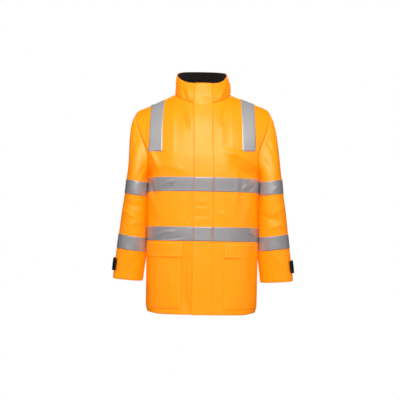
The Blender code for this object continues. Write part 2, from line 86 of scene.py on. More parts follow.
TORSO = np.array(
    [  # height, half_width, front_depth, back_depth
        (-789.0, 200.0, 150.0, 146.0),
        (-640.0, 201.0, 150.0, 144.0),
        (-500.0, 202.0, 150.0, 141.0),
        (-390.0, 202.0, 150.0, 139.0),
        (-285.0, 203.0, 148.0, 138.0),
    ]
)
NECK_SHARE = 0.285
NECK_HALF_WIDTH = 100.0
NECK_DEPTH = {FRONT: 102.0, BACK: 75.0}
NECK_DROP = {FRONT: 41.0, BACK: 7.0}
NECK_DROP_POWER = 1.5
CENTRE_LINES = {
    FRONT: np.array(
        [  # step, depth, height
            (0.0, 148.0, -285.0),
            (0.25, 146.0, -225.0),
            (0.5, 139.0, -162.0),
            (0.75, 125.0, -100.0),
            (1.0, NECK_DEPTH[FRONT], -NECK_DROP[FRONT]),
        ]
    ),
    BACK: np.array(
        [
            (0.0, 138.0, -285.0),
            (0.25, 143.0, -215.0),
            (0.5, 138.0, -143.0),
            (0.75, 118.0, -72.0),
            (1.0, NECK_DEPTH[BACK], -NECK_DROP[BACK]),
        ]
    ),
}
ARMHOLE = np.array(
    [  # step, height, front_x, front_depth, back_x, back_depth
        (0, -290, 203, 0, 203, 0),
        (0.1, -275, 197, 44, 199, 46),
        (0.2, -253, 193, 67, 197, 72),
        (0.31, -226, 196, 76, 201, 83),
        (0.42, -197, 206, 73, 210, 83),
        (0.54, -167, 219, 66, 221, 75),
        (0.66, -137, 230, 53, 230, 63),
        (0.78, -107, 238, 37, 237, 46),
        (0.89, -82, 239, 18, 239, 27),
        (1, -60, 230, -6, 230, 6),
    ]
)


def smooth(table, column, at):
    """A cubic curve through one column of a table, read against its first column."""
    knots, values = table[:, 0], table[:, column]
    steps = np.diff(knots)
    secants = np.diff(values) / steps
    slopes = np.concatenate([secants[:1], np.zeros(len(steps) - 1), secants[-1:]])
    slopes[1:-1] = (secants[:-1] * steps[1:] + secants[1:] * steps[:-1]) / (steps[:-1] + steps[1:])
    at = np.clip(at, knots[0], knots[-1])
    cell = np.clip(np.searchsorted(knots, at, side="right") - 1, 0, len(steps) - 1)
    u = (at - knots[cell]) / steps[cell]
    start = (1 + 2 * u) * (1 - u) ** 2 * values[cell] + u * (1 - u) ** 2 * steps[cell] * slopes[cell]
    end = u * u * (3 - 2 * u) * values[cell + 1] + u * u * (u - 1) * steps[cell] * slopes[cell + 1]
    return start + end


print("half the chest:", smooth(TORSO, 1, UNDERARM), "mm wide")

# %% [markdown]
# ## The body surface
#
# A worn jacket's cross-section is neither a circle nor a box. A superellipse, whose sine and cosine are
# raised to a power, lies between the two and needs only a width, a depth and that power. Above the underarm
# the cloth hangs from the neck, shoulder and armhole, so there the surface is a patch stretched between four
# edges, as a Coons patch is. Both are functions of s, from the centre at 0 to the side at 1, and of v, the
# nominal height.

# %% Body surface
def points(x, y, z):
    return np.stack(np.broadcast_arrays(x, y, z), axis=-1).astype(float)


def between(a, b, share):
    return a + (b - a) * share


def soft_step(value, start, stop):
    """0 before start, 1 after stop, and a smooth S between them."""
    share = np.clip((value - start) / (stop - start), 0, 1)
    return share * share * (3 - 2 * share)


def signed_power(value, power):
    return np.sign(value) * np.abs(value) ** power


def torso_section(s, height, face):
    """x = width * sin^(2/p), y = depth * cos^(2/p), with the quarter turn spread over s."""
    angle = s * np.pi / 2
    depth = smooth(TORSO, 2 if face == FRONT else 3, height)
    x = smooth(TORSO, 1, height) * signed_power(np.sin(angle), 2 / SECTION_POWER)
    y = face * depth * signed_power(np.cos(angle), 2 / SECTION_POWER)
    return points(x, y, height - SIDE_DROP * s * s)


def neck_seam(angle, face):
    """An ellipse round the neck that dips by cos^1.5 towards the centre."""
    drop = NECK_DROP[face] * np.abs(np.cos(angle)) ** NECK_DROP_POWER
    return points(NECK_HALF_WIDTH * np.sin(angle), face * NECK_DEPTH[face] * np.cos(angle), -drop)


def armhole(step, face):
    x, depth = (2, 3) if face == FRONT else (4, 5)
    return points(smooth(ARMHOLE, x, step), face * smooth(ARMHOLE, depth, step), smooth(ARMHOLE, 1, step))


def shoulder_line(s, face):
    """The neck seam up to its side, then a nearly straight shoulder seam out to the tip."""
    along = np.clip((s - NECK_SHARE) / (1 - NECK_SHARE), 0, 1)[..., None]
    bow = -2.0 * 4 * along[..., 0] * (1 - along[..., 0])
    shoulder = between(neck_seam(np.pi / 2, face), armhole(1.0, face), along) + points(0, 0, bow)
    neck = neck_seam(np.clip(s / NECK_SHARE, 0, 1) * np.pi / 2, face)
    return np.where((s < NECK_SHARE)[..., None], neck, shoulder)


def yoke(s, step, face):
    """Foot and top edges blended by step, then moved to meet the centre line and the armhole."""
    foot, top = torso_section(s, UNDERARM, face), shoulder_line(s, face)
    centre = points(0.0, face * smooth(CENTRE_LINES[face], 1, step), smooth(CENTRE_LINES[face], 2, step))
    roll = 1 - np.sqrt(1 - step**2)
    share = points(step, between(step**1.6, roll, np.clip(s / NECK_SHARE, 0, 1) ** 2), step)
    zero, one = np.zeros_like(s), np.ones_like(s)
    at_centre = between(torso_section(zero, UNDERARM, face), shoulder_line(zero, face), share)
    at_edge = between(torso_section(one, UNDERARM, face), shoulder_line(one, face), share)
    inward, outward = (1 - s)[..., None], (s**EDGE_REACH)[..., None]
    to_centre, to_armhole = centre - at_centre, armhole(step, face) - at_edge
    return between(foot, top, share) + inward * to_centre + outward * to_armhole


def unit(vectors):
    return vectors / np.linalg.norm(vectors, axis=-1, keepdims=True)


def running_length(line):
    return np.concatenate([[0.0], np.cumsum(np.linalg.norm(np.diff(line, axis=0), axis=1))])


def stance(place):
    """Soft steps in height and width move the neck and arms aside, the left shoulder up and the hem in."""
    x, z = place[..., 0], place[..., 2]
    out = np.abs(x)
    aside = -LEAN_ASIDE * soft_step(z, -330.0, 40.0)
    aside += SLEEVES_ASIDE * soft_step(out, 212.0, 300.0) * soft_step(-z, 110.0, 260.0)
    aside -= HEM_TUCK * x * soft_step(-z, 758.0, 792.0)
    raised = SHOULDER_RAISE * soft_step(x, 70.0, 200.0) * soft_step(z, -300.0, -80.0)
    raised += HEM_CORNER * soft_step(out, 150.0, 200.0) * soft_step(-z, 750.0, 789.0)
    return place + points(aside, 0.0, raised)


def body(s, v, face):
    """The smooth body: sections below the underarm, the yoke above it. A negative s is the wearer's right."""
    s, v = np.broadcast_arrays(np.asarray(s, float), np.asarray(v, float))
    side, s = np.where(s < 0, -1.0, 1.0), np.abs(s)
    step = np.clip((v - UNDERARM) / YOKE_RISE, 0, 1)
    low = torso_section(s, np.minimum(v, UNDERARM), face)
    place = np.where((v <= UNDERARM)[..., None], low, yoke(s, step, face))
    place[..., 0] *= side
    return place


print("hem corner:", body(1.0, HEM, FRONT).round(1), "shoulder tip:", body(1.0, SHOULDER, FRONT).round(1))

# %% [markdown]
# ## Creases, listed one by one
#
# Cloth this firm doesn't ripple all over. It makes a few soft folds where it is pulled: from the armpit
# across the chest, round the elbow, at the foot of the collar. A simulation would give others each time, so
# each crease is a row in a table: where it starts and ends, its width, and its height, which is below zero
# for a trough. Across, a crease has a narrow crest and long flanks; along, it fades at both ends.

# %% Creases on the front and back
FULLNESS = 1.4  # scales every crease at once
BLOUSE = 4.5  # how far the cloth hangs out over the chest tape
CREASES = {
    FRONT: np.array(
        [  # x, height, x, height, width, rise
            (66, -208, 196, -268, 14, 6),  # from the left armpit
            (92, -246, 190, -304, 21, -8),
            (112, -255, 108, -425, 13, 2.6),
            (142, -268, 150, -440, 24, -2.6),
            (-196, -196, -156, -292, 13, 6),  # from the right armpit
            (-199, -236, -172, -380, 15, -7),
            (-150, -262, -60, -286, 15, 1.6),
            (-80, -66, -50, -128, 7, -3.2),  # under the collar
            (-58, -60, -38, -150, 7, 2.2),
            (84, -52, 70, -120, 8, -2.2),
            (60, -100, 64, -200, 10, 1.2),
            (-27, -384, 14, -392, 8, 0.7),  # across the flap
            (-24, -399, 26, -402, 7, -0.9),
            (-20, -417, 18, -407, 7, 0.6),
            (-29, -434, 8, -440, 7, -0.8),
            (-18, -449, 32, -454, 7.5, 0.7),
            (60, -420, 84, -462, 9, 1.9),
            (-150, -336, -96, -316, 5.5, 2.1),  # along the tapes
            (-140, -349, -104, -332, 5, -1.8),
            (136, -342, 166, -328, 5, 2.2),
            (148, -356, 188, -322, 5.5, -2.4),
            (-160, -508, -92, -494, 6, 1.7),
            (-136, -520, -70, -510, 6, -1.6),
            (150, -492, 192, -508, 6.5, 2),
            (-48, -530, -44, -800, 12, -6.5),  # beside the flap, below the waist
            (-46, -372, -43, -480, 7, -1.8),
            (-190, -560, -186, -770, 12, -2.2),
            (186, -540, 178, -700, 14, -2.5),
            (120, -640, 132, -790, 18, 1.8),
            (-120, -610, -112, -760, 20, 1.3),
            (40, -610, 54, -780, 13, -1.5),
            (-176, -388, -150, -452, 12, 1.8),
            (166, -380, 140, -462, 13, 2.1),
        ]
    ),
    BACK: np.array(
        [
            (-150, -560, -120, -760, 22, 2.6),  # hanging below the waist
            (-60, -590, -74, -770, 17, -3),
            (40, -560, 66, -740, 24, 2.8),
            (140, -600, 126, -775, 16, -2.6),
            (-120, -300, 30, -338, 9, 2.2),
            (-196, -220, -110, -262, 15, 4.6),
            (-200, -262, -120, -330, 20, -4.2),
            (196, -204, 130, -284, 14, 4.8),
            (200, -258, 150, -360, 19, -4.5),
            (-20, -110, -90, -190, 26, 1.6),
            (36, -120, 80, -222, 24, -1.8),
            (-60, -380, 20, -396, 11, 2.2),
            (-30, -402, 70, -418, 13, -2.4),
            (60, -430, 130, -442, 10, 2),
            (-150, -424, -80, -456, 12, 2.3),
            (-96, -442, -20, -462, 10, -1.8),
            (-80, -520, -92, -780, 24, -3.2),
            (-20, -548, -14, -790, 22, 2.6),
            (70, -530, 88, -790, 26, -3.4),
            (132, -560, 140, -760, 18, 2.2),
            (-150, -560, -156, -740, 20, 2),
            (-120, -336, -70, -322, 6, 1.8),
            (90, -345, 150, -326, 6.5, -2),
            (30, -512, 90, -500, 7, 1.6),
        ]
    ),
}


def creased(table, x, z):
    """The sum of rise * exp(1 - sqrt(1 + (k * across / width)^2)), sharper at the crest than a bell curve."""
    height = np.zeros(np.broadcast(x, z).shape)
    for x0, z0, x1, z1, width, rise in table:
        length = np.hypot(x1 - x0, z1 - z0)
        along = ((x - x0) * (x1 - x0) + (z - z0) * (z1 - z0)) / length**2
        bend = 0.06 * length * np.sin(np.pi * np.clip(along, 0, 1)) * np.sign(rise)
        across = ((x - x0) * (z1 - z0) - (z - z0) * (x1 - x0)) / length + bend
        ends = soft_step(along, -0.12, 0.3) * (1 - soft_step(along, 0.66, 1.12))
        height += FULLNESS * rise * np.exp(1 - np.sqrt(1 + (2.1 * across / width) ** 2)) * ends
    return height


def undulation(x, z, seed):
    """Three long shallow waves that cross at odd angles, so that no stretch is quite flat."""
    a = np.sin(x / 37.0 + z / 61.0 + seed)
    b = np.sin(x / 71.0 - z / 43.0 + 2.1 * seed)
    c = np.sin(x / 23.0 + z / 139.0 + 0.7 * seed)
    return 0.55 * a + 0.5 * b + 0.25 * c


def blousing(x, z):
    """Soft steps that swell the middle of the body just above the chest tape."""
    swell = soft_step(-z, 150, 288) * (1 - soft_step(-z, 296, 352))
    return BLOUSE * swell * (1 - soft_step(np.abs(x), 90, 190))


def relief(s, v, face):
    """How far creases lift the cloth, fading out towards the seams so that they stay closed."""
    place = body(s, v, face)
    x, z = place[..., 0], place[..., 2]
    inside = soft_step(1 - np.abs(s), 0.0, 0.1) * (1 - soft_step(v, SHOULDER - 34, SHOULDER))
    return inside * (creased(CREASES[face], x, z) + undulation(x, z, 1.0 + face) + blousing(x, z))


PROBE_S, PROBE_V = 0.004, 1.5


def skin(s, v, face, lift=0.0):
    """Points lifted off the creased body, and their outward normals from the cross product of its slopes."""
    s, v = np.broadcast_arrays(np.asarray(s, float), np.asarray(v, float))
    side, reach = np.where(s < 0, -1.0, 1.0), np.abs(s)
    inner, outer = side * np.clip(reach - PROBE_S, 0, 1), side * np.clip(reach + PROBE_S, 0, 1)
    below, above = v - PROBE_V, np.minimum(v + PROBE_V, SHOULDER)
    outwards = (body(outer, v, face) - body(inner, v, face)) * side[..., None]
    upwards = body(s, above, face) - body(s, below, face)
    normal = unit(np.cross(outwards, upwards) * (-face))
    height = relief(s, v, face) + lift
    return stance(body(s, v, face) + normal * height[..., None]), normal


def s_at(x, v, face):
    """The s whose point lies x from the centre, found by halving, because x only grows with s."""
    x, v = np.broadcast_arrays(np.asarray(x, float), np.asarray(v, float))
    low, high = np.zeros_like(x), np.full_like(x, 0.97)
    for _ in range(22):
        middle = (low + high) / 2
        short = body(middle, v, face)[..., 0] < np.abs(x)
        low, high = np.where(short, middle, low), np.where(short, high, middle)
    return np.where(x < 0, -1.0, 1.0) * (low + high) / 2


print("fullest crease on the front:", round(float(np.abs(CREASES[FRONT][:, 5]).max()), 1), "mm")

# %% [markdown]
# ## Shader maths as sums
#
# A procedural material is a sum of patterns. Written node by node it is long and hard to read, so one small
# class wraps a socket: adding or multiplying two of them adds the Math node that does it. Any other node
# comes from its one method, node().

# %% A socket that can be used in sums
class Wire:
    """A number that varies over the surface: the output of a node, with arithmetic on it."""

    def __init__(self, tree, socket=None):
        self.tree, self.socket = tree, socket

    def node(self, kind, inputs, output=0, stops=None, **settings):
        """Any node: its settings and ramp stops first, then a value or a wire for each named input."""
        made = self.tree.nodes.new(kind)
        for name, value in settings.items():
            setattr(made, name, value)
        if stops:
            ramp = made.color_ramp.elements
            for element, (position, grey) in zip((ramp[0], ramp[1]), stops):
                element.position, element.color = position, (grey, grey, grey, 1)
        for name, value in inputs.items():
            if isinstance(value, Wire):
                self.tree.links.new(value.socket, made.inputs[name])
            else:
                made.inputs[name].default_value = value
        return Wire(self.tree, made.outputs[output])

    def maths(self, operation, a, b):
        return self.node("ShaderNodeMath", {0: a, 1: b}, operation=operation)

    def __add__(self, other):
        return self.maths("ADD", self, other)

    def __radd__(self, other):
        return self.maths("ADD", other, self)

    def __sub__(self, other):
        return self.maths("SUBTRACT", self, other)

    def __rsub__(self, other):
        return self.maths("SUBTRACT", other, self)

    def __mul__(self, other):
        return self.maths("MULTIPLY", self, other)

    def __rmul__(self, other):
        return self.maths("MULTIPLY", other, self)

    def __pow__(self, other):
        return self.maths("POWER", self, other)

    def sine(self):
        return self.maths("SINE", self, 0.0)

    def size(self):
        return self.maths("ABSOLUTE", self, 0.0)


def colour_mix(share, first, second):
    """One colour blended into another by a share that varies."""
    settings = {"data_type": "RGBA", "blend_type": "MIX"}
    return share.node("ShaderNodeMix", {0: share, 6: first, 7: second}, output=2, **settings)


def fresh_material(name, roughness, **uniform):
    """A material with its uniform values set, its shader, and a wire to start from."""
    material = bpy.data.materials.new(name)
    material.use_nodes = True
    shader = material.node_tree.nodes["Principled BSDF"]
    shader.inputs["Roughness"].default_value = roughness
    for socket, value in uniform.items():
        shader.inputs[socket.replace("_", " ")].default_value = value
    return material, shader, Wire(material.node_tree)


def connect(wire, shader, socket):
    wire.tree.links.new(wire.socket, shader.inputs[socket])


def cloth_grid(start):
    """The two directions of the cloth from the piece's own UV map, which is in metres."""
    uv = start.node("ShaderNodeUVMap", {}, uv_map="cloth")
    u = start.node("ShaderNodeSeparateXYZ", {"Vector": uv}, output=0)
    v = start.node("ShaderNodeSeparateXYZ", {"Vector": uv}, output=1)
    return uv, u, v


def noise(start, where, scale, detail=2.0, distortion=0.0):
    inputs = {"Vector": where, "Scale": scale, "Detail": detail, "Distortion": distortion}
    return start.node("ShaderNodeTexNoise", inputs)


def bumped(height, strength, distance):
    return height.node("ShaderNodeBump", {"Strength": strength, "Distance": distance, "Height": height})


def plain_weave(u, v, pitch):
    """Over and under: the product of two sines, one across each yarn direction."""
    turn = 2 * np.pi / pitch
    return (u * turn).sine() * (v * turn).sine()


print("shader helpers ready")

# %% [markdown]
# ## Fluorescent polyester
#
# The shell is a coated plain weave in a dye that turns ultraviolet light into orange, so its red looks
# brighter than any paint. A little emission in the dye's colour stands in for that: a painted glow, the same
# in light and in shade, which also lifts the shaded sides. The weave and small puckers are bump. Close to a
# seam the cloth is pulled by the thread, so an attribute called seam raises the puckers there, and rubs the
# colour a little lighter on the fold.

# %% Orange shell cloth
def make_shell_cloth():
    # Emission strength: a painted glow in the dye's orange, standing in for fluorescence, which also lifts
    # the shade
    uniform = {"Emission_Strength": 0.34, "Specular_IOR_Level": 0.58, "Specular_Tint": (1.0, 0.88, 0.68, 1)}
    material, shader, start = fresh_material("fluorescent_orange", 0.5, **uniform)
    uv, u, v = cloth_grid(start)
    seam = start.node("ShaderNodeAttribute", {}, output=2, attribute_name="seam")
    broad = noise(start, uv, 5.0, 3.0, 0.4)
    fine = noise(start, uv, 55.0, 3.0, 0.8)
    pucker = noise(start, uv, 120.0, 2.0, 0.5)
    yarn = noise(start, uv, 900.0, 1.0)
    weave = plain_weave(u, v, 0.0016)
    tone = broad * 0.7 + fine * 0.2 + yarn * 0.1 + weave * 0.05
    worn = seam * pucker * 0.5
    colour = colour_mix(tone, (1.0, 0.270, 0.0006, 1), (1.0, 0.330, 0.0016, 1))
    rubbed = colour_mix(worn, colour, (1.0, 0.40, 0.03, 1))
    connect(rubbed, shader, "Base Color")
    # Emission colour of the painted glow: the same orange in light and in shade
    connect(colour_mix(tone, (1.0, 0.20, 0.0, 1), (1.0, 0.23, 0.0, 1)), shader, "Emission Color")
    connect(0.37 + fine * 0.1 + seam * 0.05, shader, "Roughness")
    height = weave * 0.04 + fine * 0.8 + broad * 2.2 + seam * (pucker * 1.1)
    connect(bumped(height, 0.55, 0.0011), shader, "Normal")
    return material


shell_cloth = make_shell_cloth()
print("made", shell_cloth.name)

# %% [markdown]
# ## Reflective tape
#
# The tape is a grey fabric faced with glass beads a twentieth of a millimetre across. They are far too small
# to model, and send light back mostly to where it came from, so in soft light the tape is an even satin
# grey. What the eye catches is a faint grain, the creases it keeps, and a pressed grid of tiny cells. Its
# colour is painted lighter upwards, from the waist to the braces: painted light, where the high key light
# falls more fully on the braces.

# %% Reflective tape
# Painted light: above this height the tape's colour is painted lighter, where the key light falls on the
# braces
PAINTED_LIGHT_ABOVE = -0.36  # metres: over 0.2 m from here the tape turns lighter


def make_tape():
    uniform = {"Metallic": 0.4, "Specular_IOR_Level": 0.5}
    material, shader, start = fresh_material("reflective_grey", 0.42, **uniform)
    uv, u, v = cloth_grid(start)
    beads = noise(start, uv, 1400.0, 1.0)
    handled = noise(start, uv, 14.0, 4.0, 1.2)
    crinkle = noise(start, uv, 46.0, 3.0, 2.0)
    cells = ((u + v) * (np.pi / 0.004)).sine() * ((u - v) * (np.pi / 0.004)).sine()
    tone = handled * 0.55 + beads * 0.35 + crinkle * 0.1
    place = start.node("ShaderNodeTexCoord", {}, output="Object")
    height_up = start.node("ShaderNodeSeparateXYZ", {0: place}, output="Z")
    # Painted light: a share that grows with height and blends the tape to a lighter, lit grey
    painted_upper_light = (height_up - PAINTED_LIGHT_ABOVE) * 5.0
    below = colour_mix(tone, (0.385, 0.360, 0.371, 1), (0.495, 0.470, 0.480, 1))
    above = colour_mix(tone, (0.525, 0.507, 0.511, 1), (0.630, 0.608, 0.612, 1))
    connect(colour_mix(painted_upper_light, below, above), shader, "Base Color")
    connect(0.36 + handled * 0.14, shader, "Roughness")
    height = crinkle * 0.9 + beads * 0.06 + cells.size() * 0.05
    connect(bumped(height, 0.5, 0.0012), shader, "Normal")
    return material


tape_cloth = make_tape()
print("made", tape_cloth.name)

# %% [markdown]
# ## Dark lining, zip and moulded tab
#
# Inside is a warm black fleece on the collar and a thin dark lining elsewhere. The zip's tape is a ribbed
# weave with moulded teeth, and the cuff tabs are pressed rubber with a fine leather-like grain. All four are
# dark or hidden, so they need grain and sheen more than colour.

# %% Lining, zip and tab
def make_fleece():
    uniform = {"Sheen_Weight": 0.12, "Sheen_Roughness": 0.5, "Specular_IOR_Level": 0.2}
    material, shader, start = fresh_material("black_fleece", 0.95, **uniform)
    uv, _, _ = cloth_grid(start)
    tufts = noise(start, uv, 420.0, 4.0, 1.5)
    patches = noise(start, uv, 40.0, 2.0)
    tone = tufts * 0.7 + patches * 0.3
    connect(colour_mix(tone, (0.004, 0.0022, 0.002, 1), (0.014, 0.009, 0.008, 1)), shader, "Base Color")
    connect(bumped(tufts, 0.8, 0.0012), shader, "Normal")
    return material


def make_lining():
    material, shader, start = fresh_material("dark_lining", 0.62, Sheen_Weight=0.1)
    uv, u, v = cloth_grid(start)
    twill = ((u + v) * (2 * np.pi / 0.0018)).sine()
    slack = noise(start, uv, 30.0, 3.0, 1.0)
    tone = twill * 0.2 + slack * 0.8
    connect(colour_mix(tone, (0.012, 0.010, 0.011, 1), (0.035, 0.031, 0.033, 1)), shader, "Base Color")
    connect(bumped(slack + twill * 0.05, 0.6, 0.0018), shader, "Normal")
    return material


def make_zip_tape():
    material, shader, start = fresh_material("zip_orange", 0.5)
    uv, u, v = cloth_grid(start)
    rib = (u * (2 * np.pi / 0.0012)).sine()
    fleck = noise(start, uv, 500.0, 2.0)
    connect(colour_mix(fleck, (0.72, 0.17, 0.002, 1), (0.95, 0.27, 0.006, 1)), shader, "Base Color")
    connect(bumped(rib * 0.5 + fleck, 0.5, 0.0004), shader, "Normal")
    return material


def make_rubber():
    material, shader, start = fresh_material("moulded_black", 0.5, Specular_IOR_Level=0.45)
    where = start.node("ShaderNodeTexCoord", {}, output=3)
    pebbles = start.node("ShaderNodeTexVoronoi", {"Vector": where, "Scale": 700.0}, feature="SMOOTH_F1")
    scuffs = noise(start, where, 90.0, 4.0, 2.5)
    connect(colour_mix(scuffs, (0.006, 0.006, 0.006, 1), (0.024, 0.023, 0.022, 1)), shader, "Base Color")
    connect(0.38 + scuffs * 0.3, shader, "Roughness")
    connect(bumped(pebbles + scuffs * 0.4, 0.5, 0.0005), shader, "Normal")
    return material


def make_thread(name, light, dark, glow):
    material, shader, start = fresh_material(name, 0.6, Emission_Strength=glow)
    # Emission: a painted glow in the dye's orange, as on the shell, the same in light and in shade
    shader.inputs["Emission Color"].default_value = (1.0, 0.22, 0.0, 1)
    where = start.node("ShaderNodeTexCoord", {}, output=3)
    fibre = noise(start, where, 1800.0, 2.0)
    connect(colour_mix(fibre, dark, light), shader, "Base Color")
    connect(bumped(fibre, 0.4, 0.0002), shader, "Normal")
    return material


fleece, lining, zip_tape, rubber = make_fleece(), make_lining(), make_zip_tape(), make_rubber()
# The orange thread gets a painted glow of 0.3, as the shell does; the grey thread gets none
orange_thread = make_thread("orange_thread", (1.0, 0.36, 0.01, 1), (1.0, 0.26, 0.002, 1), 0.3)
grey_thread = make_thread("grey_thread", (0.50, 0.47, 0.47, 1), (0.30, 0.28, 0.28, 1), 0.0)
print("made", len(bpy.data.materials), "materials, the frame's included")

# %% [markdown]
# ## From a grid of points to a sheet of cloth
#
# Every piece of cloth is a grid of points, rows by columns. Its UV map is in metres along the cloth, so a
# weave keeps its size on every piece. Solidify then adds the thickness inwards, with the lining on the
# inner side. An attribute called seam is 1 on the borders and fades over a centimetre.

# %% Cloth from a grid
def arc_lengths(grid, axis):
    """Mean running length along one direction of a grid."""
    steps = np.linalg.norm(np.diff(grid, axis=axis), axis=-1).mean(axis=1 - axis)
    return np.concatenate([[0.0], np.cumsum(steps)])


def border_distance(grid, closed):
    """Length to the nearest border row, or border column on a piece that isn't a tube."""
    rows, columns = arc_lengths(grid, 0), arc_lengths(grid, 1)
    along = np.minimum(rows, rows[-1] - rows)[:, None]
    across = np.minimum(columns, columns[-1] - columns)[None, :]
    return np.broadcast_to(along, grid.shape[:2]) if closed else np.minimum(along, across)


def quads(rows, columns, closed):
    """The four points of each cell of a grid, its last column joined to the first if it is closed."""
    ids = np.arange(rows * columns).reshape(rows, columns)
    if closed:
        ids = np.concatenate([ids, ids[:, :1]], axis=1)
    return np.stack([ids[:-1, :-1], ids[:-1, 1:], ids[1:, 1:], ids[1:, :-1]], axis=-1).reshape(-1, 4)


def linked(name, vertices, faces, material):
    """An object whose mesh is made of these points and faces, in the scene."""
    mesh = bpy.data.meshes.new(name)
    mesh.from_pydata(vertices.reshape(-1, 3).tolist(), [], faces.tolist())
    mesh.materials.append(material)
    piece = bpy.data.objects.new(name, mesh)
    bpy.context.scene.collection.objects.link(piece)
    return piece


def cloth(name, grid, thickness, outside, inside=None, closed=False, flip=False):
    """A mesh with one vertex for each grid point, closed round the seam column if it is a tube."""
    rows, columns = grid.shape[:2]
    faces = quads(rows, columns, closed)
    u, v = arc_lengths(grid, 1), arc_lengths(grid, 0)
    if closed:
        last = np.linalg.norm(grid[:, 0] - grid[:, -1], axis=-1).mean()
        u = np.concatenate([u, [u[-1] + last]])
    cell_u, cell_v = np.meshgrid(np.arange(len(u) - 1), np.arange(rows - 1))
    corner_u = np.stack([cell_u, cell_u + 1, cell_u + 1, cell_u], axis=-1).reshape(-1, 4)
    corner_v = np.stack([cell_v, cell_v, cell_v + 1, cell_v + 1], axis=-1).reshape(-1, 4)
    if flip:
        faces, corner_u, corner_v = faces[:, ::-1], corner_u[:, ::-1], corner_v[:, ::-1]
    piece = linked(name, grid * MM, faces, outside)
    mesh = piece.data
    mesh.materials.append(inside or outside)
    layer = mesh.uv_layers.new(name="cloth")
    layer.uv.foreach_set("vector", (np.stack([u[corner_u], v[corner_v]], axis=-1) * MM).ravel())
    seam = np.exp(-((border_distance(grid, closed) / 7.0) ** 2))
    mesh.attributes.new("seam", "FLOAT", "POINT").data.foreach_set("value", seam.ravel())
    mesh.shade_smooth()
    wall = piece.modifiers.new("thickness", "SOLIDIFY")
    wall.thickness, wall.offset, wall.use_even_offset = thickness * MM, -1.0, False
    wall.material_offset, wall.material_offset_rim = 1, 0
    return piece


def finish_piece(piece, nodes):
    """Rides on the one body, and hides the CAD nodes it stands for."""
    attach(piece, "root")
    if nodes:
        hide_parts(*nodes)
    print(f"{piece.name}: {len(piece.data.vertices)} points")


def tucked(grid, normals, closed=False, depth=1.1, reach=3.2):
    """Draws the cloth in at its borders by a bell curve, as a sewn seam does."""
    draw = depth * np.exp(-((border_distance(grid, closed) / reach) ** 2))
    return grid - normals * draw[..., None]


def spread(start, stop, spacing):
    return np.linspace(start, stop, max(2, int(round(abs(stop - start) / spacing)) + 1))


print("cloth helpers ready")

# %% [markdown]
# ## Fronts and back
#
# Each front runs from the zip at the centre to the side seam, and the back runs from side seam to side seam.
# The columns are spaced evenly in s, which crowds them nicely where the body turns, and the rows are 4 mm
# apart. Two shapes more are pressed in: a turned hem, thicker for its last 25 mm, and the tucks at the seams.

# %% Fronts and back
CLOTH = 2.0
ZIP_EDGE = 6.0
ROW_SPACING = 4.2
TURNED = 24.5  # from a turned edge to its row of stitches


def hem_fold(v):
    """A turned hem: 0.2 mm proud over its last 25 mm, with a shallow line where it is stitched."""
    turned = 0.2 * (1 - soft_step(v, HEM + 14, HEM + 34))
    return turned - 0.04 * np.exp(-(((v - HEM - TURNED) / 2.4) ** 2))


def front_panel(side):
    v = spread(HEM, SHOULDER, ROW_SPACING)[:, None]
    share = np.linspace(0, 1, 72)[None, :]
    s = side * between(s_at(ZIP_EDGE, v, FRONT), 1.0, share)
    return tucked(*skin(s, v, FRONT, hem_fold(v)))


panel = {}
for side, name in SIDES:
    panel[name] = cloth(f"front_panel_{name}", front_panel(side), CLOTH, shell_cloth, lining, flip=side < 0)
    finish_piece(panel[name], [f"front_{name}"])

v_rows = spread(HEM, SHOULDER, ROW_SPACING)[:, None]
back_s = np.linspace(-1, 1, 143)[None, :]
back_grid = tucked(*skin(back_s, v_rows, BACK, hem_fold(v_rows)))
back_panel = cloth("back_panel", back_grid, CLOTH, shell_cloth, lining, flip=True)
finish_piece(back_panel, ["back"])

# %% [markdown]
# ## Sleeves
#
# A sleeve is a tube that starts on the armhole, drops over the shoulder and hangs. Below the armpit it is a
# stack of tilted ovals. Above, each line along the sleeve is a Hermite curve: it leaves the armhole in one
# direction and arrives at the first oval in another. Elbow creases are given by angle round the arm and by
# height, and differ between the two sleeves.

# %% Sleeves
SLEEVE_TOP, CUFF = -311.0, -672.0
CAP_RISE = 200.0
SLEEVE_POWER = 2.2
SLEEVE = np.array(
    [  # height, inner_x, outer_x, centre_y, half_depth, tilt_deg
        (CUFF, 212, 325, -13, 47, 4),
        (-612, 204.5, 318, -11, 57, 6),
        (-558, 198, 311, -9, 67, 7.3),
        (-508, 198, 305, -6, 73, 7.3),
        (-430, 198, 296, -2, 82, 7.3),
        (-361, 198, 286, 1, 88, 7.3),
        (SLEEVE_TOP, 199, 281, 2, 90, 7.3),
    ]
)
SLEEVE_CREASES = {
    1: np.array(
        [  # degrees round (front 90), height, degrees, height, width, rise
            (20, -400, 95, -432, 9, 2.2),
            (60, -452, 150, -420, 10, -2.4),
            (30, -462, 110, -486, 9, 2),
            (100, -130, 60, -260, 13, -2.4),
            (70, -150, 40, -330, 15, 0.9),
            (130, -220, 70, -300, 11, -1.2),
            (100, -560, 40, -640, 10, 2),
            (60, -330, 85, -345, 5, 1.5),
            (-60, -410, -130, -440, 11, -2.4),
            (-30, -452, -120, -470, 10, 2.2),
            (-90, -180, -50, -300, 14, 2.4),
            (-110, -550, -70, -650, 11, -1.8),
        ]
    ),
    -1: np.array(
        [
            (35, -388, 120, -410, 10, -2.2),
            (20, -425, 100, -452, 9, 2.3),
            (70, -480, 140, -462, 10, 1.9),
            (105, -120, 75, -300, 14, 1),
            (75, -140, 50, -280, 14, -2.1),
            (135, -250, 90, -330, 10, -1.8),
            (60, -545, 110, -620, 10, 1.9),
            (120, -590, 80, -660, 9, -1.6),
            (-50, -396, -140, -424, 11, 2.2),
            (-40, -446, -110, -478, 11, -2.2),
            (-100, -170, -60, -310, 14, -2),
            (-70, -530, -110, -640, 12, 2),
        ]
    ),
}
ARM_RADIUS = 68.0  # turns an angle round the arm into a length
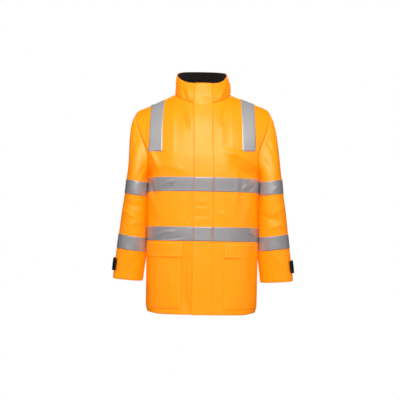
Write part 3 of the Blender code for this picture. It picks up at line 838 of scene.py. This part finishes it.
TRUNK_SIDE = 201.5
FINE_STEPS = np.linspace(0, 1, 241)


def armhole_ring(angle):
    """The armhole by angle: 0 at the shoulder tip, growing to the front, spaced by arc length."""
    share = np.abs(angle) / np.pi
    ring = {}
    for face in (FRONT, BACK):
        line = armhole(FINE_STEPS, face)[::-1]
        lengths = running_length(line)
        ring[face] = armhole(np.interp(share, lengths / lengths[-1], FINE_STEPS[::-1]), face)
    return np.where((angle >= 0)[..., None], ring[FRONT], ring[BACK])


def sleeve_section(height, angle):
    """A tilted superellipse: out by cos^(2/p), forward by sin^(2/p), raised where it is further out."""
    inner, outer, centre_y, half_depth, tilt = (smooth(SLEEVE, column, height) for column in range(1, 6))
    out = (outer - inner) / 2 * signed_power(np.cos(angle), 2 / SLEEVE_POWER)
    y = centre_y - half_depth * signed_power(np.sin(angle), 2 / SLEEVE_POWER)
    return points((inner + outer) / 2 + out, y, height + out * np.tan(np.radians(tilt)))


def arm(angle, w):
    """The left sleeve. w is a height below the sleeve's top, and above it climbs the cap to the armhole."""
    angle, w = np.broadcast_arrays(np.asarray(angle, float), np.asarray(w, float))
    ring, first = armhole_ring(angle), sleeve_section(np.full_like(w, SLEEVE_TOP), angle)
    reach = np.linalg.norm(first - ring, axis=-1)[..., None]
    underarm = (1 - np.cos(angle)) / 2
    fall = np.radians(between(33.0, 62.0, underarm))
    leave = points(np.cos(fall), 0.0, -np.sin(fall)) * reach * between(0.5, 0.9, underarm)[..., None]
    arrive = points(0.2 * (1 - underarm), 0.0, -1.0) * reach * 0.8
    t = 1 - np.clip((w - SLEEVE_TOP) / CAP_RISE, 0, 1)[..., None]
    near = (1 + 2 * t) * (1 - t) ** 2 * ring + t * (1 - t) ** 2 * leave
    far = t * t * (3 - 2 * t) * first - t * t * (1 - t) * arrive
    return np.where((w > SLEEVE_TOP)[..., None], near + far, sleeve_section(np.minimum(w, SLEEVE_TOP), angle))


def pressed(place):
    """x is held outside a wall by (d + sqrt(d^2 + 1.5)) / 2, with d its distance. The wall is the side of the
    trunk, stands off more where tapes meet, and is out of reach above the armpit."""
    z = place[..., 2]
    tapes = soft_step(-z, 288, 298) * (1 - soft_step(-z, 362, 374)) * 1.6
    tapes += soft_step(-z, 467, 476) * (1 - soft_step(-z, 528, 540)) * 1.3
    wall = TRUNK_SIDE + tapes - 400.0 * soft_step(z, -330, -285)
    over = place[..., 0] - wall
    return points(wall + (over + np.sqrt(over**2 + 1.5)) / 2, place[..., 1], z)


def sleeve_skin(angle, w, side, lift=0.0):
    """Points lifted off the creased sleeve, and outward normals. side -1 mirrors it to the right arm."""
    angle, w = np.broadcast_arrays(np.asarray(angle, float), np.asarray(w, float))
    round_arm = arm(angle + 0.01, w) - arm(angle - 0.01, w)
    up = arm(angle, np.minimum(w + 1.5, SLEEVE_TOP + CAP_RISE)) - arm(angle, w - 1.5)
    normal = unit(np.cross(up, round_arm))
    place = arm(angle, w)
    table = SLEEVE_CREASES[side].copy()
    table[:, [0, 2]] *= np.pi / 180 * ARM_RADIUS
    round_mm = angle * ARM_RADIUS
    free = soft_step(SLEEVE_TOP + CAP_RISE - w, 0, 40) * soft_step(np.pi - np.abs(angle), 0.1, 0.7)
    waves = 0.9 * undulation(round_mm, place[..., 2], 4.0 + side)
    height = free * (creased(table, round_mm, place[..., 2]) + waves)
    mirror = np.array([side, 1, 1])
    place = pressed(place + normal * height[..., None]) + normal * np.asarray(lift)[..., None]
    return stance(place * mirror), normal * mirror


def cuff_fold(w):
    """The cuff's turned edge, as on the hem but 0.5 mm proud."""
    turned = 0.5 * (1 - soft_step(w, CUFF + 20, CUFF + 28))
    return turned - 0.25 * np.exp(-(((w - CUFF - TURNED) / 2.4) ** 2))


ROUND = np.linspace(-np.pi, np.pi, 97)[:-1][None, :]
cap_rows = SLEEVE_TOP + spread(0, CAP_RISE, ROW_SPACING)[1:]
sleeve_rows = np.concatenate([spread(CUFF, SLEEVE_TOP, ROW_SPACING), cap_rows])[:, None]
sleeves = {}
for side, name in SIDES:
    grid, normals = sleeve_skin(ROUND, sleeve_rows, side, cuff_fold(sleeve_rows))
    grid = tucked(grid, normals, closed=True, depth=1.6, reach=4.0)
    sleeves[name] = cloth(f"sleeve_tube_{name}", grid, CLOTH, shell_cloth, lining, closed=True, flip=side > 0)
    finish_piece(sleeves[name], [f"sleeve_{name}"])

# %% [markdown]
# ## Collar and its fleece
#
# The collar is a band that stands on the neck seam. Its top edge is an ellipse too, higher behind than in
# front, and the wall between them is a straight blend with a slight bulge, because a lined collar is padded.
# The fleece is the same surface, moved inside it. Both are functions of the turn round the neck, from 0 at
# the zip to half a turn behind, and of the share of the height.

# %% Collar
COLLAR_HALF_WIDTH, COLLAR_SIDE_HEIGHT = 95.0, 65.0
COLLAR_TOP = {FRONT: (85.0, -32.0), BACK: (82.0, 25.0)}  # depth, rise from the side to the centre
COLLAR_HEIGHT = 90.0  # nominal, for creases and for the flap
LEFT_DRAWN_IN = 0.085  # its left side leans in at the top by this share
COLLAR_CREASES = np.array(
    [  # mm round from the zip, height, mm round, height, width, rise
        (-13, 22, 22, 12, 3.5, 1.2),
        (-8, 33, 30, 29, 4.5, -1.1),
        (62, 6, 84, 44, 8, 3.4),
        (96, 2, 104, 52, 9, -2.6),
        (-66, 2, -80, 50, 8, -3.4),
        (-46, 8, -58, 62, 9, 2.2),
        (120, 30, 160, 58, 12, 1.6),
        (-130, 20, -190, 44, 13, -1.8),
        (200, 16, 250, 40, 12, -1.6),
        (-230, 30, -270, 60, 12, 1.5),
    ]
)


def collar_edge(angle, face):
    """An ellipse whose height is level across the front, 1 - sin^4, and quick to rise behind, cos^0.5."""
    depth, rise = COLLAR_TOP[face]
    share = 1 - np.sin(angle) ** 4 if face == FRONT else np.abs(np.cos(angle)) ** 0.5
    height = COLLAR_SIDE_HEIGHT + rise * share
    return points(COLLAR_HALF_WIDTH * np.sin(angle), face * depth * np.cos(angle), height)


def collar_wall(turn, share):
    """Seam and top edge blended by share. A turn below zero, or over half a turn, is the wearer's right."""
    turn = np.where(turn > np.pi, turn - 2 * np.pi, turn)
    reach = np.abs(turn)
    angle = np.where(reach < np.pi / 2, reach, np.pi - reach)
    ahead = (reach < np.pi / 2)[..., None]
    seam = np.where(ahead, neck_seam(angle, FRONT), neck_seam(angle, BACK))
    edge = np.where(ahead, collar_edge(angle, FRONT), collar_edge(angle, BACK))
    edge = edge * points(1 - LEFT_DRAWN_IN * np.exp(-(((turn - 1.45) / 0.55) ** 2)), 1.0, 1.0)
    place = between(seam, edge, share[..., None])
    return place * points(np.where(turn < 0, -1.0, 1.0), 1.0, 1.0)


def collar_skin(turn, share, lift=0.0):
    """The wall moved out by its bulge, its creases and a lift, with outward normals."""
    turn, share = np.broadcast_arrays(np.asarray(turn, float), np.asarray(share, float))
    high, low = np.minimum(share + 0.02, 1), share - 0.02
    round_neck = collar_wall(turn + 0.01, share) - collar_wall(turn - 0.01, share)
    normal = unit(np.cross(round_neck, collar_wall(turn, high) - collar_wall(turn, low)))
    round_mm, up_mm = turn * NECK_HALF_WIDTH, share * COLLAR_HEIGHT
    free = soft_step(share, 0.0, 0.16) * (1 - 0.6 * soft_step(share, 0.8, 1.0))
    fuller_left = 1.0 + 1.3 * np.exp(-(((turn - 1.2) / 0.7) ** 2))
    bulge = 2.4 * fuller_left * np.sin(np.pi * np.clip(share, 0, 1) ** 0.8)
    folds = creased(COLLAR_CREASES, round_mm, up_mm) + 0.7 * undulation(round_mm, up_mm, 9.0)
    height = free * folds + bulge
    return stance(collar_wall(turn, share) + normal * (height + lift)[..., None]), normal


COLLAR_CLOTH, FLEECE = 2.4, 2.2
zip_turn = np.arcsin(ZIP_EDGE / NECK_HALF_WIDTH)
turns = np.linspace(zip_turn, 2 * np.pi - zip_turn, 176)
turns = np.where(turns > np.pi, turns - 2 * np.pi, turns)[None, :]
shares = np.linspace(0, 1, 24)[:, None]
collar_grid = tucked(*collar_skin(turns, shares), depth=0.9)
collar = cloth("collar_band", collar_grid, COLLAR_CLOTH, shell_cloth, fleece)
finish_piece(collar, ["collar"])

fleece_shares = between(-0.03, 0.985, shares)
tucked_in = 2.5 * (1 - soft_step(fleece_shares, -0.03, 0.12))
fleece_grid, _ = collar_skin(turns, fleece_shares, -COLLAR_CLOTH - 0.3 - tucked_in)
collar_fleece = cloth("collar_fleece", fleece_grid, FLEECE, fleece)
finish_piece(collar_fleece, ["collar_lining"])

# %% [markdown]
# ## Storm flap
#
# A strip of double cloth, sewn down along the wearer's left of the zip and free on the other side, runs from
# the hem to the top of the collar. Its grid takes the body up to the neck and the collar above it, and its
# normals come from the grid itself, which rounds the corner between the two. The free edge stands off by an
# uneven amount, and that is what draws the dark line beside it.

# %% Storm flap
FLAP_FREE, FLAP_SEWN = -32.6, 36.0
FLAP_FREE_ON_TOP, FLAP_SEWN_ON_TOP = -24.0, 34.2
FLAP_CLOTH = 2.0
TAPE, GAP = 1.0, 0.3


def on_front_or_collar(q, r, edges_low, edges_top):
    """Grid of a strip down the front: q across it, r its nominal height, which goes on up the collar."""
    q, r = np.broadcast_arrays(np.asarray(q, float), np.asarray(r, float))
    share = np.clip((r - SHOULDER) / COLLAR_HEIGHT, 0, 1)
    x = between(between(edges_low[0], edges_low[1], q), between(edges_top[0], edges_top[1], q), share)
    v = np.minimum(r, SHOULDER)
    on_front, _ = skin(s_at(x, v, FRONT), v, FRONT)
    turn = np.arcsin(x / between(NECK_HALF_WIDTH, COLLAR_HALF_WIDTH, share))
    on_collar, _ = collar_skin(turn, share)
    return np.where((r > SHOULDER)[..., None], on_collar, on_front)


def grid_normals(grid):
    """Unit normals from the grid's own slopes, for columns that run anticlockwise from above."""
    return unit(np.cross(np.gradient(grid, axis=1), np.gradient(grid, axis=0)))


def flap_lift(q, r):
    """Top of the flap: clear of the tape it crosses, lower where it is sewn, and uneven where it is free."""
    base = np.interp(q, (0.0, 0.39, 0.56, 0.93, 1.0), (3.8, 3.7, 3.0, 2.3, 1.4))
    wander = 1.1 + 0.5 * np.sin(r / 47.0) + 0.4 * np.sin(r / 19.0 + 1.0) + 2.4 * soft_step(-r, 540, 600)
    rolled = wander * np.exp(-((q / 0.16) ** 2)) * (1 - soft_step(r, -120, -60) * 0.6)
    return base + rolled


def flap_place(q, r, extra=0.0):
    grid = on_front_or_collar(q, r, (FLAP_FREE, FLAP_SEWN), (FLAP_FREE_ON_TOP, FLAP_SEWN_ON_TOP))
    normals = grid_normals(grid)
    return grid + normals * (flap_lift(*np.broadcast_arrays(q, r)) + extra)[..., None], normals


rows_on_collar = SHOULDER + spread(0, COLLAR_HEIGHT, 4.0)[1:]
flap_rows = np.concatenate([spread(HEM, SHOULDER, 4.0), rows_on_collar])[:, None]
flap_grid, flap_normals = flap_place(np.linspace(0, 1, 22)[None, :], flap_rows)
flap_grid = tucked(flap_grid, flap_normals, depth=0.5, reach=1.6)
storm_flap = cloth("storm_flap_strip", flap_grid, FLAP_CLOTH, shell_cloth)
finish_piece(storm_flap, ["storm_flap"])

# %% [markdown]
# ## Zip
#
# Under the flap a two-way zip closes the front. Only its top end shows, from above. Its tape is a strip
# like any other, and its teeth are one small block copied along two paths. A block is placed by three
# directions, along the path, across it and out of the surface, so all blocks are made in one array sum.

# %% Zip
BLOCK = np.array([(a, b, c) for a in (-1, 1) for b in (-1, 1) for c in (-1, 1)], float)
BLOCK_FACES = np.array([(0, 1, 3, 2), (4, 6, 7, 5), (0, 4, 5, 1), (2, 3, 7, 6), (0, 2, 6, 4), (1, 5, 7, 3)])


def along_path(line, normals, pitch, offset=0.5):
    """Places at one pitch along a line, with the line's direction and the surface's normal at each."""
    lengths = running_length(line)
    at = np.arange(offset * pitch, lengths[-1], pitch)

    def read(values, where):
        return np.stack([np.interp(where, lengths, values[:, axis]) for axis in range(3)], axis=-1)

    place, ahead, normal = read(line, at), read(line, at + 0.5) - read(line, at - 0.5), read(normals, at)
    return place, unit(ahead), normal


def blocks(name, runs, pitch, size, material, taper=0.55):
    """One mesh of small blocks: place + a * ahead + b * across + c * out for each corner of each block."""
    parts = [along_path(line, normals, pitch, offset) for line, normals, offset in runs]
    place, ahead, normal = (np.concatenate(field) for field in zip(*parts))
    across = unit(np.cross(normal, ahead))
    corners = BLOCK * np.array(size) / 2
    corners[:, :2] *= np.where(BLOCK[:, 2:] > 0, taper, 1.0)
    frames = np.stack([ahead, across, normal], axis=1)
    vertices = place[:, None, :] + np.einsum("ki,nij->nkj", corners, frames)
    faces = (np.arange(len(place)) * len(BLOCK))[:, None, None] + BLOCK_FACES[None]
    return linked(name, vertices * MM, faces.reshape(-1, 4), material)


zip_edges = (-ZIP_EDGE + 0.3, ZIP_EDGE - 0.3)
zip_grid = on_front_or_collar(np.linspace(0, 1, 7)[None, :], flap_rows, zip_edges, zip_edges)
zip_normals = grid_normals(zip_grid)
zip_strip = cloth("zip_tape", zip_grid - zip_normals * 0.8, 1.2, zip_tape)
finish_piece(zip_strip, ["zip"])
zip_face = zip_grid - zip_normals * 0.4
tooth_runs = [(zip_face[:, at], zip_normals[:, at], start) for at, start in ((2, 0.25), (4, 0.75))]
zip_teeth = blocks("zip_teeth", tooth_runs, 2.6, (1.2, 3.2, 1.0), rubber, taper=0.8)
finish_piece(zip_teeth, [])

# %% [markdown]
# ## Reflective tapes
#
# Each tape is a strip on the body's own surface, a hair above the cloth, so every crease in the cloth shows
# in the tape as well. Two go round the trunk, two round each sleeve, and a brace goes over each shoulder and
# ends in mid-chest. The flap has its own short lengths, and the orange of its two edges shows beside them.

# %% Tapes round the trunk
TAPE_WIDTH = 50.0
CHEST_TOP, WAIST_TOP = -301.5, -475.5
TAPE_LIFT = GAP + TAPE
TAPE_THICK = 0.9
FLAP_TAPE = (0.012, 0.985)
bands = {"chest": CHEST_TOP, "waist": WAIST_TOP}


def band_rows(top):
    return spread(top - TAPE_WIDTH, top, 3.6)[:, None]


def declare_tape(piece, node):
    finish_piece(piece, [node])


def tape(name, s, v, face, flip=False):
    return cloth(name, skin(s, v, face, TAPE_LIFT)[0], TAPE_THICK, tape_cloth, flip=flip)


for band, top in bands.items():
    v = band_rows(top)
    left_s = between(s_at(FLAP_SEWN + 0.3, v, FRONT), 1.0, np.linspace(0, 1, 66)[None, :])
    right_s = -between(s_at(ZIP_EDGE + 0.5, v, FRONT), 1.0, np.linspace(0, 1, 74)[None, :])
    left_tape = tape(f"{band}_band_left", left_s, v, FRONT)
    right_tape = tape(f"{band}_band_right", right_s, v, FRONT, flip=True)
    back_tape = tape(f"{band}_band_back", back_s, v, BACK, flip=True)
    flap_q = np.linspace(*FLAP_TAPE, 18)[None, :]
    flap_tape_grid, _ = flap_place(flap_q, v, TAPE_LIFT)
    flap_tape = cloth(f"{band}_band_flap", flap_tape_grid, TAPE_THICK, tape_cloth)
    declare_tape(left_tape, f"{band}_tape_left")
    declare_tape(right_tape, f"{band}_tape_right")
    declare_tape(back_tape, f"{band}_tape_back")
    declare_tape(flap_tape, f"{band}_tape_flap")

# %% Tapes round the sleeves
UPPER_TOP, LOWER_TOP = -311.0, -508.0
SLEEVE_TAPES_RISE = {1: 2.0, -1: -6.5}  # the two sleeves hang a little differently
for side, name in SIDES:
    for height, top, girth in (("upper", UPPER_TOP, 0.43), ("lower", LOWER_TOP, 0.40)):
        top += SLEEVE_TAPES_RISE[side]
        grid, _ = sleeve_skin(ROUND, band_rows(top), side, TAPE_LIFT)
        piece = cloth(f"{height}_arm_band_{name}", grid, TAPE_THICK, tape_cloth, closed=True, flip=side > 0)
        declare_tape(piece, f"{height}_sleeve_tape_{name}")

# %% Braces over the shoulders
BRACE_FOOT = -212.0
BRACE_SWING = 3.5  # both feet lie this far to the wearer's right
BRACE_EDGES = np.array(
    [  # height, inner, outer
        (-285.0, 141.0, 187.5),
        (-212.0, 141.0, 188.0),
        (-130.0, 140.0, 187.0),
        (SHOULDER, 136.5, 185.0),
    ]
)


def brace_s(q, v, face, swing=0.0):
    return s_at(between(smooth(BRACE_EDGES, 1, v), smooth(BRACE_EDGES, 2, v), q) + swing, v, face)


def level_foot(q, face):
    """The nominal height at which each column of the brace is at one real height, by three Newton steps."""
    v = np.full_like(q, BRACE_FOOT)
    for _ in range(3):
        height = body(brace_s(q, v, face), v, face)[..., 2]
        rise = body(brace_s(q, v + 2, face), v + 2, face)[..., 2] - height
        v = v + 2 * (BRACE_FOOT - height) / rise
    return v


def brace_half(side, q, face):
    """From one foot up to the shoulder, on the wearer's left (1) or right (-1)."""
    share = np.linspace(0, 1, 46)[:, None] ** 0.9
    v = between(level_foot(q, face), SHOULDER, share)
    swing = -BRACE_SWING * side * (1 - (v - BRACE_FOOT) / (SHOULDER - BRACE_FOOT))
    return skin(side * brace_s(q, v, face, swing), v, face)[0]


brace_q = np.linspace(0, 1, 14)[None, :]
braces = {}
for side, name in SIDES:
    base = np.concatenate([brace_half(side, brace_q, FRONT), brace_half(side, brace_q, BACK)[-2::-1]])
    outwards = grid_normals(base) * side
    braces[side] = base + outwards * TAPE_LIFT, outwards
    piece = cloth(f"brace_{name}", braces[side][0], TAPE_THICK, tape_cloth, flip=side < 0)
    declare_tape(piece, f"brace_tape_{name}")

# %% [markdown]
# ## Pockets
#
# Each front has a patch pocket with a flap. The patch is sewn on three sides, so its edges are drawn down
# and its middle stands a little proud: a product of two sines. The flap is sewn along its top and free
# below, where it stands off the pocket and casts a line of shade. The left flap hangs a little skewed.

# %% Pockets
POCKET_FLAP_TOP, POCKET_MOUTH, POCKET_FLAP_FOOT, POCKET_FOOT = -531.0, -545.0, -583.0, -765.0
POCKET_OUTER_S = 0.85
POCKET_EDGE = {1: 76.7, -1: 70.0}
POCKET_CLOTH, PATCH_THICK = 1.6, 1.2
LEFT_SKEW = 4.5  # how much lower the left flap hangs at its outer corner
pocket_share = np.linspace(0, 1, 34)[None, :]


def pocket_s(v, side):
    return side * between(s_at(POCKET_EDGE[side], v, FRONT), POCKET_OUTER_S, pocket_share)


def pocket_lift(v):
    """The patch lies flatter at its foot, where the hem takes it in."""
    return (GAP + POCKET_CLOTH) * (0.4 + 0.6 * soft_step(v, POCKET_FOOT, POCKET_FOOT + 16))


for side, name in SIDES:
    rise = np.linspace(0, 1, 54)[:, None]
    v = between(POCKET_FOOT, POCKET_MOUTH, rise)
    fullness = np.sin(np.pi * pocket_share) * np.sin(np.pi * rise**1.3) * (2.2 + 0.6 * side)
    grid, normals = skin(pocket_s(v, side), v, FRONT, pocket_lift(v) + fullness)
    grid = tucked(grid, normals, depth=0.6, reach=2.4)
    patch = cloth(f"pocket_patch_{name}", grid, PATCH_THICK, shell_cloth, flip=side < 0)
    finish_piece(patch, [f"pocket_{name}"])

    skew = LEFT_SKEW * pocket_share * (side > 0)
    drop = np.linspace(0, 1, 18)[:, None]
    v = between(POCKET_FLAP_FOOT - skew, POCKET_FLAP_TOP, drop)
    near_centre = 2.6 * (1 - drop) ** 0.5 * (1 - soft_step(pocket_share, 0.1, 0.65))
    ripple = 0.5 * (1 - drop) * np.sin(5.0 * pocket_share + side)
    stand_off = 2.3 + 1.6 * (1 - drop) ** 0.7 + near_centre + ripple
    grid, normals = skin(pocket_s(v, side), v, FRONT, stand_off)
    grid = tucked(grid, normals, depth=0.5, reach=1.6)
    flap = cloth(f"pocket_cover_{name}", grid, FLAP_CLOTH, shell_cloth, flip=side < 0)
    finish_piece(flap, [f"pocket_flap_{name}"])

# %% [markdown]
# ## Cuff tabs
#
# A moulded tab pulls each cuff tight. It is sewn on behind, and its free end stands off the sleeve in front.
# A rectangle with round corners comes from a square grid: near the corners the coordinates shrink towards
# the diagonal, x * sqrt(1 - k * y^2). Solidify and Bevel give it its body.

# %% Cuff tabs
TAB_TOP, TAB_FOOT = -600.0, -644.0
TAB_ANGLES = np.radians((-20.0, 42.0))
TAB_THICK = 3.0
square_b, square_a = np.meshgrid(np.linspace(-1, 1, 21), np.linspace(-1, 1, 17), indexing="xy")
tab_b = square_b * np.sqrt(1 - 0.12 * square_a**4)
tab_a = square_a * np.sqrt(1 - 0.16 * square_b**6)
for side, name in SIDES:
    angle = between(*TAB_ANGLES, (tab_b + 1) / 2)
    w = between(TAB_FOOT, TAB_TOP, (tab_a + 1) / 2)
    stand = np.interp(angle, np.radians((-20.0, 0.0, 21.0, 42.0)), (0.5, 3.0, 5.5, 4.2)) + TAB_THICK
    dome = 0.7 * (1 - tab_a**2) * (1 - tab_b**2)
    tab = cloth(f"tab_{name}", sleeve_skin(angle, w, side, stand + dome)[0], TAB_THICK, rubber, flip=side > 0)
    soft = tab.modifiers.new("soft_edge", "BEVEL")
    soft.width, soft.segments, soft.limit_method, soft.angle_limit = 0.9 * MM, 3, "ANGLE", np.radians(40)
    finish_piece(tab, [f"cuff_tab_{name}"])

# %% [markdown]
# ## Stitching
#
# A lockstitch shows as a row of short raised threads with a needle hole between each two. At three stitches
# to the centimetre a jacket has thousands, so each is the same six-sided block as a zip tooth, longer and
# flatter. Lines of stitches follow the same surface functions as the cloth that they hold.

# %% Stitching
STITCH_PITCH, STITCH = 3.3, (2.5, 0.7, 0.4)


def stitch_line(place, normal):
    """A line for blocks() that starts half a stitch in."""
    return place.reshape(-1, 3), normal.reshape(-1, 3), 0.5


def on_front(s, v, lift, face=FRONT):
    return stitch_line(*skin(s, v, face, lift))


def on_sleeve(angle, w, side, lift):
    return stitch_line(*sleeve_skin(angle, w, side, lift))


full_round = np.linspace(-np.pi, np.pi, 200)
orange_runs, grey_runs = [], []
for side in (1, -1):
    hem_s = side * np.linspace(s_at(ZIP_EDGE, HEM, FRONT), 0.998, 90)
    orange_runs.append(on_front(hem_s, HEM + TURNED, 0.1))
    orange_runs.append(on_front(side * np.linspace(0, 0.998, 90), HEM + TURNED, 0.1, BACK))
    orange_runs.append(on_sleeve(full_round, CUFF + TURNED, side, 0.1))
    # Beside the armhole, the side seam and the shoulder seam
    for face in (FRONT, BACK):
        armhole_v = spread(UNDERARM + 8, SHOULDER - 4, 5.0)
        orange_runs.append(on_front(side * np.full_like(armhole_v, 0.972), armhole_v, -0.1, face))
    shoulder_s = side * np.linspace(NECK_SHARE + 0.02, 0.97, 60)
    orange_runs.append(on_front(shoulder_s, SHOULDER - 9.0, -0.1, BACK))
    # Round each pocket on three sides, and along the top and the free edges of its flap
    pocket_v = spread(POCKET_FOOT + 3, POCKET_MOUTH, 5.0)
    inner_s = s_at(POCKET_EDGE[side] + 2.4, pocket_v, FRONT)
    outer_s = np.full_like(pocket_v, POCKET_OUTER_S - 0.012)
    across = np.linspace(float(inner_s[0]), POCKET_OUTER_S - 0.012, 60)
    on_patch = pocket_lift(pocket_v) + 0.2
    orange_runs.append(on_front(side * inner_s, pocket_v, on_patch))
    orange_runs.append(on_front(side * outer_s, pocket_v, on_patch))
    orange_runs.append(on_front(side * across, POCKET_FOOT + 3, pocket_lift(POCKET_FOOT + 3) + 0.2))
    orange_runs.append(on_front(side * across, POCKET_FLAP_TOP - 3.5, 2.9))
    orange_runs.append(on_front(side * across, POCKET_FLAP_TOP - 9.0, 3.4))
    along = np.linspace(0, 1, 60)
    skewed_foot = POCKET_FLAP_FOOT + 5.0 - LEFT_SKEW * along * (side > 0)
    foot_lift = 3.9 + 2.4 * (1 - soft_step(along, 0.1, 0.65)) + 0.45 * np.sin(5.0 * along + side)
    orange_runs.append(on_front(side * across, skewed_foot, foot_lift))
for column in (1, 20):
    outwards = flap_normals[:, column]
    orange_runs.append(stitch_line(flap_grid[:, column] + outwards * 0.15, outwards))
for share, lift in ((0.05, 0.0), (0.93, 0.05)):
    orange_runs.append(stitch_line(*collar_skin(np.linspace(0.45, 2 * np.pi - 0.4, 220), share, lift)))
orange_stitches = blocks("orange_stitches", orange_runs, STITCH_PITCH, STITCH, orange_thread)
finish_piece(orange_stitches, [])

# %% Stitching on the tapes
EDGE_MARGIN = 2.2
tape_top = TAPE_LIFT + 0.1
for top in (CHEST_TOP, WAIST_TOP):
    for v in (top - EDGE_MARGIN, top - TAPE_WIDTH + EDGE_MARGIN):
        grey_runs.append(on_front(np.linspace(s_at(FLAP_SEWN + 2, v, FRONT), 0.998, 90), v, tape_top))
        grey_runs.append(on_front(-np.linspace(s_at(-FLAP_FREE, v, FRONT), 0.998, 90), v, tape_top))
        grey_runs.append(on_front(np.linspace(-0.998, 0.998, 190), v, tape_top, BACK))
for side in (1, -1):
    for top in (UPPER_TOP, LOWER_TOP):
        top += SLEEVE_TAPES_RISE[side]
        for w in (top - EDGE_MARGIN, top - TAPE_WIDTH + EDGE_MARGIN):
            grey_runs.append(on_sleeve(full_round, w, side, tape_top))
    for column in (1, -2):
        brace, outwards = (field[:, column] for field in braces[side])
        grey_runs.append(stitch_line(brace + outwards * 0.1, outwards))
grey_stitches = blocks("grey_stitches", grey_runs, STITCH_PITCH, STITCH, grey_thread)
finish_piece(grey_stitches, [])
print("stitches:", len(orange_stitches.data.polygons) // 6 + len(grey_stitches.data.polygons) // 6)

# %% [markdown]
# ## Floor, light and camera
#
# The jacket hangs in front of a plain white surround, above a pale floor. The surround is for the camera
# alone and lights nothing, so the light is only what is put there: a large soft box high in front, two long
# ones at the sides and an even low fill. The box's reflection is what pales the chest, where the cloth
# leans back.

# %% Floor and surround
def bright_sheet(name):
    """Plain white that gives its own light and reflects none."""
    dark = {"Base_Color": (0.0, 0.0, 0.0, 1), "Specular_IOR_Level": 0.0}
    material, *_ = fresh_material(name, 1.0, Emission_Color=(1.0, 1.0, 1.0, 1), Emission_Strength=1.0, **dark)
    return material


def stage_mesh(name, vertices, faces, material):
    """Seen by the camera alone."""
    piece = linked(name, vertices, faces, bright_sheet(material))
    for ray in ("visible_diffuse", "visible_glossy", "visible_transmission", "visible_shadow"):
        setattr(piece, ray, False)
    piece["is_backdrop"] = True


FLOOR_Z, REACH = -1.35, 24.0
around = np.linspace(0, 2 * np.pi, 65)[:-1]
ring = np.stack([np.cos(around) * REACH, np.sin(around) * REACH, np.full(64, FLOOR_Z)], axis=-1)
stage_mesh("floor", ring, np.arange(64)[None, :], "pale_floor")
rising = np.linspace(-0.2, np.pi / 2, 20)[:, None]
dome_points = points(np.cos(around) * np.cos(rising), np.sin(around) * np.cos(rising), np.sin(rising)) * REACH
stage_mesh("surround", dome_points, quads(20, 64, closed=True)[:, ::-1], "white_surround")

# %% Light
from mathutils import Euler, Vector

world = bpy.data.worlds.new("studio")
world.use_nodes = True
world.node_tree.nodes["Background"].inputs["Color"].default_value = (1.0, 1.0, 1.0, 1)
world.node_tree.nodes["Background"].inputs["Strength"].default_value = 0.17
world.cycles_visibility.glossy = False
bpy.context.scene.world = world
chest = Vector((0.0, 0.0, -0.25))


def soft_box(name, place, width, height, power, mirrored=False):
    """A lamp facing the chest. Only a mirrored one shows in the cloth's sheen."""
    light = bpy.data.lights.new(name, "AREA")
    light.shape, light.size, light.size_y, light.energy = "RECTANGLE", width, height, power
    box = bpy.data.objects.new(name, light)
    box.location = place
    box.rotation_euler = (chest - Vector(place)).to_track_quat("-Z", "Y").to_euler()
    box.visible_camera, box.visible_glossy = False, mirrored
    bpy.context.scene.collection.objects.link(box)


soft_box("key", (0.05, -2.75, 1.15), 3.1, 0.7, 98.0, mirrored=True)
soft_box("overhead", (0.0, -0.9, 2.6), 2.4, 1.6, 15.0)
soft_box("left_fill", (-2.9, -1.3, -0.2), 1.4, 2.4, 13.5)
soft_box("right_fill", (2.9, -1.3, -0.2), 1.4, 2.4, 13.0)
soft_box("low_fill", (0.0, -2.4, -2.6), 2.4, 1.0, 12.0)
soft_box("back_light", (0.0, 2.8, 0.8), 2.4, 1.6, 46.0, mirrored=True)
bpy.context.scene.view_settings.view_transform = "Standard"

# %% Camera
camera_data = bpy.data.cameras.new("camera")
camera_data.sensor_width, camera_data.lens = 36.0, 104.4
camera = bpy.data.objects.new("camera", camera_data)
camera.location = (-0.0105, -4.2, -0.382)
LEAN = 1.0  # the camera leans a little anticlockwise
camera.rotation_euler = Euler((np.pi / 2, np.radians(-LEAN), 0.0))
bpy.context.scene.collection.objects.link(camera)
bpy.context.scene.camera = camera

# %% [markdown]
# ## Sizes, and the end
#
# The CAD model's box and the visual model's box are measured, and how far each corner moved is printed.

# %% Sizes
bpy.context.view_layer.update()
shown_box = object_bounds()
growth = [round((b - a) / MM, 1) for pair in zip(cad_box, shown_box) for a, b in zip(*pair)]
print("low and high corners moved by", growth, "mm")
